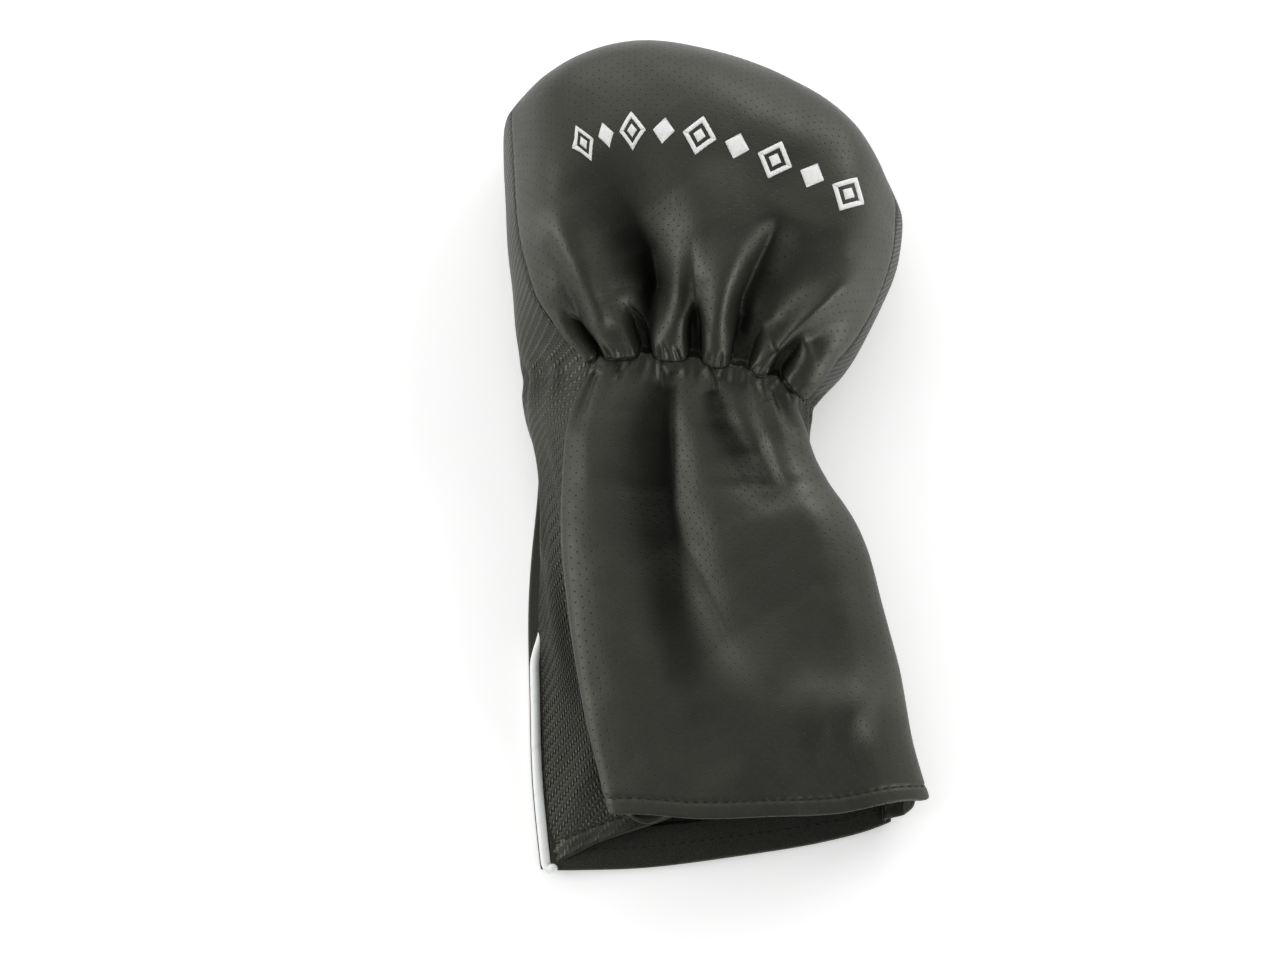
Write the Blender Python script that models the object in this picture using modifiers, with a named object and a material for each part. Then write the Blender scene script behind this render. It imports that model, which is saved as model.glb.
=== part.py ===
"""Driver head cover: a padded head pocket, an elastic-gathered neck and a long flared sleeve.

It lies on its back panel. +Y runs from the sleeve mouth to the crown, +X to the right seen
from above, +Z up from the back panel. Lengths are in millimetres, scaled to metres in each mesh.

Every panel is a surface of two parameters: one across it, one along it (0 at the hem, 1 at
the crown edge). Each layer is a sheet laid at some depth inside its panel's surface.
"""

import math

import bmesh
import bpy
import numpy as np
from mathutils import Matrix, Vector

for old in list(bpy.data.objects):
    bpy.data.objects.remove(old)

MM = 0.001

# ---------------------------------------------------------------- driving dimensions
SKIN = 1.2                # outer synthetic leather
GAP = 0.4                 # air between neighbouring layers
FOAM = 3.4                # padding in the head pocket
LINING = 1.0              # brushed lining
SKIN_DEPTH = 0.0          # how far each layer's outer side lies inside the panel's surface
FOAM_DEPTH = SKIN + GAP
HEAD_LINING_DEPTH = FOAM_DEPTH + FOAM + GAP
SLEEVE_LINING_DEPTH = SKIN + GAP
LEFT_LINING_SPARE = 0.4   # the left gusset's fold is tight, so its lining stands further off

FACING_DEPTH = 14.0       # width of the turned hem
FACING_SPLIT = 0.6        # between the hem facing and the sleeve lining
STITCH_LINE = 6.5         # hem topstitching, from the edge
THREAD_R = 0.35
THREAD_GAP = 0.4          # between a thread and the sheet it lies on
GUSSET_THREAD_GAP = 0.45

PIPING_R = 1.6            # contrast piping cord
PIPING_ROOM = 2.8         # how far the back panel stops short of the outline, for the piping
PIPING_GAP = 0.9          # between the back panel's edge and the piping
PIPING_LIFT = 0.05        # piping above z = 0
PIPING_NECK_SPARE = 2.0   # piping's clearance from the neck wedge

ELASTIC_WIDTH = 15.0
ELASTIC_THICKNESS = 1.4
NECK_AXIS_Z = 22.0        # height of the line the neck bends about
NECK_BEND_DEG = 20.0      # each way
NECK_SPARE_DEG = 0.7
NECK_EDGE = 0.4           # clearance of the outer leather from the neck wedge
NECK_CLEAR = 5.5          # clearance of the inner layers from the neck wedge
ORIGIN = (-1.115, 2.16)   # middle of the outline, taken as the frame's origin

# ---------------------------------------------------------------- measured stations
# The front panel, one row per station from the hem to the crown edge:
# y left, y right, bow, (left seam x, z), (left lip x, z), height at parameters 0.28, 0.50
# and 0.72 of FRONT_KNOTS, (right lip x, z), (right seam x, z)
FRONT_STATIONS = [
    (-149.5, -142.5, -5.0, (-38.0, 23.0), (-44.5, 30.0), 39.0, 40.0, 35.0, (86.0, 17.0), (81.0, 9.0)),
    (-122.0, -118.0, -3.0, (-45.5, 25.0), (-51.4, 32.0), 42.0, 44.0, 39.0, (79.0, 19.0), (74.0, 10.0)),
    (-92.0, -88.0, -1.0, (-52.5, 26.5), (-57.5, 33.5), 45.0, 48.0, 43.0, (71.5, 21.0), (66.0, 11.0)),
    (-60.0, -58.0, 0.0, (-57.5, 28.5), (-62.0, 35.5), 48.0, 52.0, 47.0, (63.5, 23.0), (58.0, 12.5)),
    (-30.0, -30.0, 0.0, (-60.5, 31.0), (-64.3, 37.0), 50.0, 54.0, 50.0, (54.5, 25.0), (49.5, 14.0)),
    (0.0, -4.0, 1.0, (-60.5, 35.0), (-63.0, 39.0), 50.0, 53.0, 50.0, (42.0, 27.0), (38.0, 18.0)),
    (20.0, 13.0, 3.5, (-57.0, 38.5), (-58.4, 41.5), 48.0, 50.0, 48.0, (33.8, 31.0), (32.5, 25.0)),
    (35.5, 24.0, 6.0, (-52.6, 41.5), (-52.0, 43.6), 47.0, 48.0, 46.5, (30.0, 39.0), (30.4, 36.0)),
    (50.0, 34.0, 6.5, (-67.0, 44.0), (-65.5, 48.0), 58.0, 61.0, 56.0, (46.0, 44.0), (47.8, 39.5)),
    (70.0, 52.0, 9.5, (-78.5, 46.0), (-76.3, 51.5), 71.0, 75.0, 68.0, (59.5, 47.0), (62.0, 41.0)),
    (95.0, 74.0, 17.0, (-83.5, 47.0), (-80.8, 53.5), 77.0, 82.0, 74.0, (68.5, 48.5), (71.2, 42.0)),
    (118.0, 91.0, 28.0, (-85.0, 47.0), (-82.2, 53.0), 76.0, 80.5, 73.0, (72.0, 48.0), (74.5, 41.5)),
    (134.0, 100.0, 37.0, (-85.6, 45.5), (-83.2, 50.0), 68.0, 71.0, 65.5, (73.0, 46.0), (74.8, 41.0)),
    (140.0, 104.0, 42.5, (-85.2, 44.5), (-82.8, 45.5), 50.0, 51.0, 49.0, (72.4, 42.5), (74.4, 40.5)),
]
NECK_STATION = 7
FRONT_KNOTS = (0.0, 0.035, 0.10, 0.28, 0.50, 0.72, 0.90, 0.965, 1.0)
SHOULDER_IN = 0.055       # shoulder point inside the lip, as a share of the lip-to-lip span
SHOULDER_RISE = 0.62      # its rise, as a share of the rise to the next point
FLANK_IN = 0.26           # place of the 0.28 and 0.72 points, as a share of the same span

# How an edge arches above the straight line between its two corners, as shares of the bow.
ARCH_KNOTS = (0.0, 0.04, 0.12, 0.24, 0.34, 0.48, 0.64, 0.76, 0.86, 0.94, 1.0)
ARCH_HEIGHTS = (0.0, 0.20, 0.49, 0.84, 0.985, 1.0, 0.955, 0.87, 0.68, 0.39, 0.0)

# The outline on the back, station by station: left x, y, right x, y, bow.
BACK_STATIONS = np.array([
    (-71.5, -165.5, 69.0, -147.5, -8.5),
    (-75.5, -132.0, 70.0, -121.0, -5.0),
    (-77.0, -98.0, 62.5, -91.0, -2.0),
    (-77.8, -63.0, 53.0, -60.0, 0.0),
    (-76.0, -31.0, 43.5, -31.0, 0.0),
    (-74.0, 0.0, 35.5, -5.0, 1.0),
    (-77.0, 19.0, 37.0, 11.0, 2.0),
    (-80.0, 34.0, 41.5, 21.0, 3.0),
    (-81.0, 50.0, 50.0, 33.0, 5.0),
    (-82.5, 71.0, 60.5, 52.0, 9.0),
    (-84.0, 95.0, 69.5, 74.0, 17.0),
    (-84.5, 118.0, 72.5, 91.0, 28.0),
    (-84.0, 133.0, 72.6, 100.0, 36.0),
    (-82.5, 140.0, 71.5, 104.5, 41.0),
])

# Gussets: shares of the way from the front seam (0) to the back seam (1), and how far each
# side bulges outwards at every station.
GUSSET_KNOTS = np.array([0.0, 0.14, 0.26, 0.33, 0.40, 0.70, 1.0])
GUSSET_FOOT_Z = 3.2       # height of the back seam
LEFT_BULGE = [0.0, 0.0, 0.0, 0.0, 2.5, 7.0, 12.0, 13.0, 9.0, 5.5, 5.0, 5.0, 4.5, 4.0]
RIGHT_BULGE = [2.0, 2.0, 2.0, 2.0, 2.0, 2.0, 3.0, 4.0, 4.0, 4.5, 4.5, 4.5, 4.5, 4.0]
CROWN_BULGE = LEFT_BULGE[-1]

# The left gusset's inward fold, from the hem up: crease x and z, and how much of it there is
# (1 full, 0 none). Stations beyond the table have no fold.
CREASE = [
    (-16.0, 18.5, 1.0), (-28.0, 19.5, 1.0), (-40.0, 20.5, 1.0),
    (-49.0, 21.5, 0.85), (-57.0, 22.5, 0.5), (-63.0, 24.0, 0.15),
]
ABOVE_CREASE = (-3.5, 3.6)      # x, z of the point above the crease, from the crease
BELOW_CREASE = (-4.0, -4.0)     # the same for the point below it
LOWER_FOLD_RISE = 1.2           # lower flap's middle above a straight line


# ---------------------------------------------------------------- smooth interpolation
def natural_spline(knots, rows):
    """A natural cubic spline through rows[i] at knots[i], as a function of an array."""
    knots = np.asarray(knots, float)
    rows = np.asarray(rows, float)
    count = len(knots)
    steps = np.diff(knots)
    system = np.zeros((count, count))
    target = np.zeros(rows.shape)
    system[0, 0] = system[-1, -1] = 1.0
    for i in range(1, count - 1):
        before, after = steps[i - 1], steps[i]
        system[i, i - 1:i + 2] = before, 2 * (before + after), after
        target[i] = 6 * ((rows[i + 1] - rows[i]) / after - (rows[i] - rows[i - 1]) / before)
    second = np.linalg.solve(system, target.reshape(count, -1)).reshape(rows.shape)

    def at(query):
        query = np.clip(np.asarray(query, float), knots[0], knots[-1])
        i = np.clip(np.searchsorted(knots, query, side="right") - 1, 0, count - 2)
        shape = query.shape + (1,) * (rows.ndim - 1)
        done = (query - knots[i]).reshape(shape)
        left = (knots[i + 1] - query).reshape(shape)
        step = steps[i].reshape(shape)
        cubic = (second[i] * left**3 + second[i + 1] * done**3) / (6 * step)
        start = (rows[i] / step - second[i] * step / 6) * left
        end = (rows[i + 1] / step - second[i + 1] * step / 6) * done
        return cubic + start + end

    return at


def loft_point(loft, knots, across, along):
    """Points of a loft: a spline across, through the control row that the loft gives along."""
    across, along = np.broadcast_arrays(np.asarray(across, float), np.asarray(along, float))
    shape = across.shape
    across, along = across.ravel(), along.ravel()
    rows = loft(along)
    points = np.empty((len(along), 3))
    for value in np.unique(along):
        same = along == value
        points[same] = natural_spline(knots, rows[same][0])(across[same])
    return points.reshape(shape + (3,))


ARCH = natural_spline(ARCH_KNOTS, ARCH_HEIGHTS)


def station_lengths():
    """Length along the front panel from the hem to each station, through the middle."""
    y = np.array([0.5 * (row[0] + row[1]) + row[2] for row in FRONT_STATIONS])
    z = np.array([row[6] for row in FRONT_STATIONS])
    return np.concatenate([[0.0], np.cumsum(np.hypot(np.diff(y), np.diff(z)))])


LENGTH = station_lengths()[-1]
STATIONS = station_lengths() / LENGTH
NECK_ALONG = STATIONS[NECK_STATION]


# ---------------------------------------------------------------- panel surfaces
def front_net():
    """Control points of the front panel, one row per station."""
    net = []
    for (y_left, y_right, bow, seam_left, lip_left,
         z_28, z_50, z_72, lip_right, seam_right) in FRONT_STATIONS:
        span = lip_right[0] - lip_left[0]
        inside = np.array([0.0, SHOULDER_IN, FLANK_IN, 0.50, 1 - FLANK_IN, 1 - SHOULDER_IN, 1.0])
        x = np.array([seam_left[0], *(lip_left[0] + inside * span), seam_right[0]])
        z = [seam_left[1], lip_left[1], lip_left[1] + SHOULDER_RISE * (z_28 - lip_left[1]),
             z_28, z_50, z_72,
             lip_right[1] + SHOULDER_RISE * (z_72 - lip_right[1]), lip_right[1], seam_right[1]]
        share = np.clip((x - seam_left[0]) / (seam_right[0] - seam_left[0]), 0.0, 1.0)
        y = y_left + (y_right - y_left) * share + bow * ARCH(share)
        net.append(np.column_stack([x, y, z]))
    return np.array(net)


FRONT_LOFT = natural_spline(STATIONS, front_net())


def front(across, along):
    """The front panel's outer surface; across runs from the left seam to the right."""
    return loft_point(FRONT_LOFT, FRONT_KNOTS, across, along)


def back_net():
    """For every station: the left edge point, the right edge point and the bow as a y shift."""
    x_left, y_left, x_right, y_right, bow = BACK_STATIONS.T
    zero = np.zeros_like(bow)
    left = np.column_stack([x_left + PIPING_ROOM, y_left, zero])
    right = np.column_stack([x_right - PIPING_ROOM, y_right, zero])
    return np.stack([left, right, np.column_stack([zero, bow, zero])], axis=1)


BACK_LOFT = natural_spline(STATIONS, back_net())


def back(across, along):
    """The back panel's outer surface, flat on z = 0; across runs from left to right."""
    across, along = np.broadcast_arrays(np.asarray(across, float), np.asarray(along, float))
    edges = BACK_LOFT(along)
    share = across[..., None]
    points = edges[..., 0, :] * (1 - share) + edges[..., 1, :] * share
    points[..., 1] += edges[..., 2, 1] * ARCH(across)
    return points


def raised_back(across, along):
    """The gusset's back seam, just above the back panel."""
    return back(across, along) + np.array([0, 0, GUSSET_FOOT_Z])


def folded_row(top, foot, crease_x, crease_z):
    """Control points of a fully folded gusset between a front seam and a back seam point."""
    upper_x, upper_z = crease_x + ABOVE_CREASE[0], crease_z + ABOVE_CREASE[1]
    lower_x, lower_z = crease_x + BELOW_CREASE[0], crease_z + BELOW_CREASE[1]
    x = [top[0], top[0] + 0.5 * (upper_x - top[0]), upper_x, crease_x, lower_x,
         0.5 * (lower_x + foot[0]), foot[0]]
    z = [top[2], top[2] + 0.45 * (upper_z - top[2]), upper_z, crease_z, lower_z,
         0.5 * (lower_z + foot[2]) + LOWER_FOLD_RISE, foot[2]]
    y = top[1] + (foot[1] - top[1]) * GUSSET_KNOTS
    return np.column_stack([x, y, z])


def side_net(edge, out_x, bulges, creases):
    """Control points of a side gusset at the panels' edge 0 or 1, one row per station."""
    net = []
    share = GUSSET_KNOTS[:, None]
    for j, (station, bulge) in enumerate(zip(STATIONS, bulges)):
        top, foot = front(edge, station), raised_back(edge, station)
        row = top + (foot - top) * share
        row = row + np.array([out_x, 0, 0]) * bulge * np.sin(math.pi * share)
        if j < len(creases):
            crease_x, crease_z, amount = creases[j]
            row = row * (1 - amount) + folded_row(top, foot, crease_x, crease_z) * amount
        net.append(row)
    return np.array(net)


LEFT_LOFT = natural_spline(STATIONS, side_net(0.0, -1.0, LEFT_BULGE, CREASE))
RIGHT_LOFT = natural_spline(STATIONS, side_net(1.0, 1.0, RIGHT_BULGE, []))


def left_gusset(across, along):
    """The left gusset; across runs from the front seam to the back seam."""
    return loft_point(LEFT_LOFT, GUSSET_KNOTS, across, along)


def right_gusset(across, along):
    """The right gusset; across runs from the front seam to the back seam."""
    return loft_point(RIGHT_LOFT, GUSSET_KNOTS, across, along)


def crown_gusset(across, sideways):
    """The gusset round the crown, between the front and back panels' top edges."""
    across, sideways = np.broadcast_arrays(across, sideways)
    share = across[..., None]
    points = front(sideways, 1.0) * (1 - share) + raised_back(sideways, 1.0) * share
    angle = math.pi * (0.98 - 0.96 * sideways)
    out = np.stack([np.cos(angle), np.sin(angle), np.zeros_like(angle)], axis=-1)
    return points + out * (CROWN_BULGE * np.sin(math.pi * share))


def gusset(across, ring):
    """The whole gusset strip: ring 0..1 up the left, 1..2 over the crown, 2..3 down the right."""
    across, ring = np.broadcast_arrays(np.asarray(across, float), np.asarray(ring, float))
    left = left_gusset(across, np.clip(ring, 0, 1))
    crown = crown_gusset(across, np.clip(ring - 1, 0, 1))
    right = right_gusset(across, np.clip(3 - ring, 0, 1))
    return np.where((ring < 1)[..., None], left, np.where((ring <= 2)[..., None], crown, right))


# ---------------------------------------------------------------- the neck's bending line
# It runs over the neck station, from the left seam to the right lip.
NECK_ROW = FRONT_STATIONS[NECK_STATION]
NECK_LEFT = np.array([NECK_ROW[3][0], NECK_ROW[0], NECK_AXIS_Z])
NECK_RIGHT = np.array([NECK_ROW[8][0], NECK_ROW[1], NECK_AXIS_Z])
AXIS_DIR = (NECK_RIGHT - NECK_LEFT) / np.linalg.norm(NECK_RIGHT - NECK_LEFT)
AXIS_POINT = 0.5 * (NECK_LEFT + NECK_RIGHT)
TO_HEAD = np.array([-AXIS_DIR[1], AXIS_DIR[0], 0.0])
WEDGE = math.tan(math.radians(NECK_BEND_DEG / 2 + NECK_SPARE_DEG))
HEAD_SIDE, SLEEVE_SIDE = 1, -1


def past_neck(point, side, spare):
    """How far a point lies past the wedge that the neck's bending needs, on the given side."""
    distance = (point - AXIS_POINT) @ TO_HEAD
    return side * distance - (abs(point[2] - NECK_AXIS_Z) * WEDGE + spare)


def neck_cut(surface, across, side, spare):
    """Where, along a surface, one column leaves the neck wedge; found by halving."""
    inside, outside = NECK_ALONG, (0.999 if side == HEAD_SIDE else 0.001)
    for _ in range(26):
        middle = 0.5 * (inside + outside)
        if past_neck(surface(across, middle), side, spare) < 0:
            inside = middle
        else:
            outside = middle
    return outside


def neck_cuts(surface, columns, side, spare):
    """The neck cut of every column, as a column vector."""
    return np.array([[neck_cut(surface, across, side, spare)] for across in columns])


# ---------------------------------------------------------------- materials
def material(name, colour, roughness):
    made = bpy.data.materials.new(name)
    made.use_nodes = True
    bsdf = made.node_tree.nodes["Principled BSDF"]
    bsdf.inputs["Base Color"].default_value = (*colour, 1.0)
    bsdf.inputs["Roughness"].default_value = roughness
    return made


PERFORATED = material("perforated_leather", colour=(0.022, 0.022, 0.020), roughness=0.48)
CARBON = material("carbon_embossed_leather", colour=(0.018, 0.018, 0.018), roughness=0.38)
PLAIN = material("plain_leather", colour=(0.022, 0.022, 0.021), roughness=0.50)
WHITE = material("white_piping", colour=(0.86, 0.86, 0.84), roughness=0.45)
FOAM_GREY = material("padding_foam", colour=(0.09, 0.09, 0.09), roughness=0.95)
FLEECE = material("brushed_lining", colour=(0.012, 0.012, 0.012), roughness=0.98)
ELASTIC_BLACK = material("elastic_webbing", colour=(0.03, 0.03, 0.03), roughness=0.8)
THREAD_BLACK = material("black_thread", colour=(0.01, 0.01, 0.01), roughness=0.6)
THREAD_WHITE = material("white_embroidery", colour=(0.84, 0.84, 0.82), roughness=0.55)

# ---------------------------------------------------------------- making objects
NORMAL_STEP = 2e-4        # parameter step for measuring a surface's normal

part = bpy.data.collections.new("driver_head_cover")
bpy.context.scene.collection.children.link(part)


def add_object(name, data, mat, moving=False):
    """Links a piece and moves it to the shared frame.

    A piece that bends with the sleeve is moving: its origin is on the neck's line.
    """
    obj = bpy.data.objects.new(name, data)
    part.objects.link(obj)
    data.materials.append(mat)
    shift = Vector((-ORIGIN[0], -ORIGIN[1], 0.0)) * MM
    if moving:
        data.transform(Matrix.Translation(-Vector(AXIS_POINT) * MM))
        obj.location = Vector(AXIS_POINT) * MM + shift
    else:
        data.transform(Matrix.Translation(shift))
    return obj


def add_verts(bm, rows):
    return [[bm.verts.new(Vector(point) * MM) for point in row] for row in rows]


def to_mesh(name, bm):
    mesh = bpy.data.meshes.new(name)
    bm.to_mesh(mesh)
    bm.free()
    return mesh


def thicken(obj, thickness):
    """Gives an open mesh its thickness, on the inner side of its faces."""
    solid = obj.modifiers.new("thickness", "SOLIDIFY")
    solid.thickness = thickness * MM
    solid.offset = -1.0


def direction(before, here, after):
    """The direction of a line through three near points, halving the angle at a corner."""
    total = 0
    for step in (here - before, after - here):
        size = np.linalg.norm(step, axis=-1, keepdims=True)
        total = total + np.where(size > 1e-9, step / np.maximum(size, 1e-9), 0)
    return total


def sheet(name, surface, columns, along, depth, thickness, mat, outward, moving=False):
    """A closed sheet whose outer side lies a depth inside the surface.

    columns holds the parameter across for each row of the grid along; outward(points) gives
    vectors that point roughly out of the cover.
    """
    across = np.repeat(np.asarray(columns, float)[:, None], along.shape[1], 1)
    e = NORMAL_STEP
    points = surface(across, along)
    normals = np.cross(
        direction(surface(across - e, along), points, surface(across + e, along)),
        direction(surface(across, along - e), points, surface(across, along + e)))
    normals /= np.linalg.norm(normals, axis=-1, keepdims=True)
    if (normals * outward(points)).sum() <= 0:
        normals = -normals
    corner = points[:-1, :-1]
    face_normals = np.cross(points[1:, :-1] - corner, points[:-1, 1:] - corner)
    faces_out = (face_normals * outward(corner)).sum() > 0

    bm = bmesh.new()
    verts = add_verts(bm, points - normals * depth)
    for i in range(len(verts) - 1):
        for j in range(len(verts[0]) - 1):
            quad = (verts[i][j], verts[i + 1][j], verts[i + 1][j + 1], verts[i][j + 1])
            bm.faces.new(quad if faces_out else quad[::-1])
    mesh = to_mesh(name, bm)
    mesh.shade_smooth()
    thicken(add_object(name, mesh, mat, moving), thickness)


def cord(name, path, radius, mat, moving=False, cyclic=False, resolution=0):
    """A cord of even radius along a list of points."""
    curve = bpy.data.curves.new(name, "CURVE")
    curve.dimensions = "3D"
    curve.bevel_depth = radius * MM
    curve.bevel_resolution = resolution
    curve.use_fill_caps = True
    spline = curve.splines.new("POLY")
    spline.points.add(len(path) - 1)
    for point, place in zip(spline.points, path):
        point.co = (*(place * MM), 1.0)
    spline.use_cyclic_u = cyclic
    add_object(name, curve, mat, moving)


def facing(*vector):
    """An outward function that gives the same vector everywhere."""
    return lambda points: np.broadcast_to(np.array(vector), points.shape)


UP = facing(0.0, 0.0, 1.0)
DOWN = facing(0.0, 0.0, -1.0)
LEFT_OUT = facing(-1.0, 0.0, -0.2)
RIGHT_OUT = facing(1.0, 0.0, -0.2)


def from_middle(points):
    """Outward, level, from the middle of the head pocket."""
    away = points - np.array([-5.0, 90.0, 25.0])
    away[..., 2] = 0
    return away


def lifted(surface, across, along, lift):
    """The point a lift away from a surface, on whichever of its sides faces up."""
    e = NORMAL_STEP
    normal = np.cross(surface(across + e, along) - surface(across - e, along),
                      surface(across, along + e) - surface(across, along - e))
    normal /= np.linalg.norm(normal)
    if normal[2] < 0:
        normal = -normal
    return surface(across, along) + normal * lift


# ---------------------------------------------------------------- grids shared by the layers
# Every layer of a panel stands on the same inner grid, so that neighbouring layers never meet.
def closer_to_ends(low, high, count):
    """Values from low to high, denser towards both ends, where the folds are tight."""
    u = np.linspace(-1, 1, count)
    eased = np.sign(u) * (1 - (1 - np.abs(u)) ** 1.75)
    return low + (high - low) * (eased + 1) / 2


def bordered(inner, *borders):
    """The inner values with a layer's own borders, half of them before and half after."""
    half = len(borders) // 2
    return np.array([*borders[:half], *inner, *borders[half:]])


def rows_from_neck(surface, columns, side, at_neck, inner_far, shares, *ends):
    """For each column: its edge at the neck, shared rows up to inner_far, then the end rows."""
    deep = neck_cuts(surface, columns, side, NECK_CLEAR)
    rows = [neck_cuts(surface, columns, side, NECK_EDGE)] if at_neck else []
    rows.append(deep + (inner_far - deep) * shares)
    rows += [np.full((len(columns), 1), end) for end in ends]
    return np.concatenate(rows, axis=1)


BACK_COLUMNS = np.array([0.05, 0.11, 0.19, 0.31, 0.45, 0.59, 0.71, 0.80, 0.86, 0.905, 0.935])

# ---------------------------------------------------------------- head pocket
FRONT_HEAD_COLUMNS = closer_to_ends(0.03, 0.97, 11)
FRONT_HEAD_SHARES = 1 - (1 - np.linspace(0, 1, 9)) ** 1.15
FRONT_HEAD_FAR = 0.972    # last shared row of each panel
BACK_HEAD_SHARES = np.linspace(0, 1, 5)
BACK_HEAD_FAR = 0.950
GUSSET_HEAD_COLUMNS = np.array([0.12, 0.37, 0.62, 0.86])
GUSSET_SIDE_SHARES = np.linspace(0, 1, 6)
GUSSET_SIDE_FAR = 0.95
CROWN_ROWS = np.array([0.0, 0.03, 0.075, 0.13, 0.20, 0.28, 0.37, 0.47, 0.57, 0.66, 0.74, 0.81,
                       0.86, 0.905, 0.94, 0.975, 1.0])


def front_head(name, columns, end, depth, thickness, mat, at_neck=False):
    along = rows_from_neck(front, columns, HEAD_SIDE, at_neck, FRONT_HEAD_FAR,
                           FRONT_HEAD_SHARES, end)
    sheet(name, front, columns, along, depth, thickness, mat, UP)


def back_head(name, columns, end, depth, thickness, mat, at_neck=False):
    along = rows_from_neck(back, columns, HEAD_SIDE, at_neck, BACK_HEAD_FAR,
                           BACK_HEAD_SHARES, end)
    sheet(name, back, columns, along, depth, thickness, mat, DOWN)


def gusset_head(name, columns, depth, thickness, mat, at_neck=False):
    left, right = (
        rows_from_neck(side, columns, HEAD_SIDE, at_neck, GUSSET_SIDE_FAR, GUSSET_SIDE_SHARES)
        for side in (left_gusset, right_gusset))
    crown = np.broadcast_to(1 + CROWN_ROWS, (len(columns), len(CROWN_ROWS)))
    # The right side is met from the crown down, so its rows are turned round.
    ring = np.concatenate([left, crown, 3 - right[:, ::-1]], axis=1)
    sheet(name, gusset, columns, ring, depth, thickness, mat, from_middle)


def build_head_leather():
    front_head("front_panel_head", bordered(FRONT_HEAD_COLUMNS, 0.003, 0.016, 0.984, 0.997),
               0.998, SKIN_DEPTH, SKIN, PERFORATED, at_neck=True)
    gusset_head("gusset_head", bordered(GUSSET_HEAD_COLUMNS, 0.012, 1.0),
                SKIN_DEPTH, SKIN, CARBON, at_neck=True)
    back_head("back_panel_head", bordered(BACK_COLUMNS, 0.0, 1.0),
              1.0, SKIN_DEPTH, SKIN, PLAIN, at_neck=True)


def build_head_padding():
    front_head("padding_front_head", bordered(FRONT_HEAD_COLUMNS, 0.012, 0.988),
               0.988, FOAM_DEPTH, FOAM, FOAM_GREY)
    gusset_head("padding_gusset_head", bordered(GUSSET_HEAD_COLUMNS, 0.07, 0.90),
                FOAM_DEPTH, FOAM, FOAM_GREY)
    back_head("padding_back_head", BACK_COLUMNS, 0.960, FOAM_DEPTH, FOAM, FOAM_GREY)


def build_head_lining():
    front_head("lining_front_head", bordered(FRONT_HEAD_COLUMNS, 0.018, 0.982),
               0.982, HEAD_LINING_DEPTH, LINING, FLEECE)
    gusset_head("lining_gusset_head", GUSSET_HEAD_COLUMNS, HEAD_LINING_DEPTH, LINING, FLEECE)
    back_head("lining_back_head", BACK_COLUMNS, 0.959, HEAD_LINING_DEPTH, LINING, FLEECE)


# ---------------------------------------------------------------- sleeve
FRONT_SLEEVE_COLUMNS = np.array([0.02, 0.036, 0.055, 0.08, 0.12, 0.19,
                                 *np.linspace(0.29, 0.75, 5),
                                 0.84, 0.90, 0.935, 0.96, 0.98])
LEFT_SLEEVE_COLUMNS = np.array([0.04, 0.08, 0.12, 0.16, 0.20, 0.25, 0.29, 0.33, 0.37, 0.41,
                                0.50, 0.65, 0.80])
RIGHT_SLEEVE_COLUMNS = np.array([0.15, 0.38, 0.62])
SLEEVE_SHARES = np.linspace(0, 1, 9)
FACING_END = FACING_DEPTH / LENGTH      # the facing's upper edge, along the panel
SLEEVE_LINING_END = FACING_END + FACING_SPLIT / LENGTH


def sleeve_panel(key, name, surface, inner, low, high, mat, outward, lining_spare=0.0):
    """One side of the sleeve: its leather from border low to high, its lining and hem facing."""
    columns = bordered(inner, low, high)
    along = rows_from_neck(surface, columns, SLEEVE_SIDE, True, SLEEVE_LINING_END,
                           SLEEVE_SHARES, FACING_END, 0.0)
    sheet(name, surface, columns, along, SKIN_DEPTH, SKIN, mat, outward, moving=True)

    along = rows_from_neck(surface, inner, SLEEVE_SIDE, False, SLEEVE_LINING_END, SLEEVE_SHARES)
    sheet(f"lining_{key}_sleeve", surface, inner, along, SLEEVE_LINING_DEPTH + lining_spare,
          LINING, FLEECE, outward, moving=True)

    along = np.broadcast_to(np.array([FACING_END, 0.0]), (len(inner), 2))
    sheet(f"hem_facing_{key}", surface, inner, along, SLEEVE_LINING_DEPTH, SKIN, PLAIN,
          outward, moving=True)


def build_sleeve():
    sleeve_panel("front", "front_panel_sleeve", front, FRONT_SLEEVE_COLUMNS, 0.003, 0.997,
                 PERFORATED, UP)
    sleeve_panel("left", "gusset_left_sleeve", left_gusset, LEFT_SLEEVE_COLUMNS, 0.012, 1.0,
                 CARBON, LEFT_OUT, LEFT_LINING_SPARE)
    sleeve_panel("right", "gusset_right_sleeve", right_gusset, RIGHT_SLEEVE_COLUMNS, 0.02, 1.0,
                 CARBON, RIGHT_OUT)
    sleeve_panel("back", "back_panel_sleeve", back, BACK_COLUMNS, 0.0, 1.0, PLAIN, DOWN)


# ---------------------------------------------------------------- piping
def back_ring(ring):
    """The back panel's edge: 0..1 up the left side, 1..2 over the crown, 2..3 down the right."""
    if ring < 1:
        return back(0.0, ring)
    if ring <= 2:
        return back(ring - 1, 1.0)
    return back(1.0, 3 - ring)


def piping(name, places, moving=False):
    """A piping cord just outside the back panel's edge, through the given places on its ring."""
    path = []
    for place in places:
        run = back_ring(place + 1e-3) - back_ring(place - 1e-3)
        out = np.array([-run[1], run[0], 0.0])
        out *= (PIPING_R + PIPING_GAP) / np.linalg.norm(out)
        path.append(back_ring(place) + out + np.array([0, 0, PIPING_R + PIPING_LIFT]))
    cord(name, path, PIPING_R, WHITE, moving, resolution=1)


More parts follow.
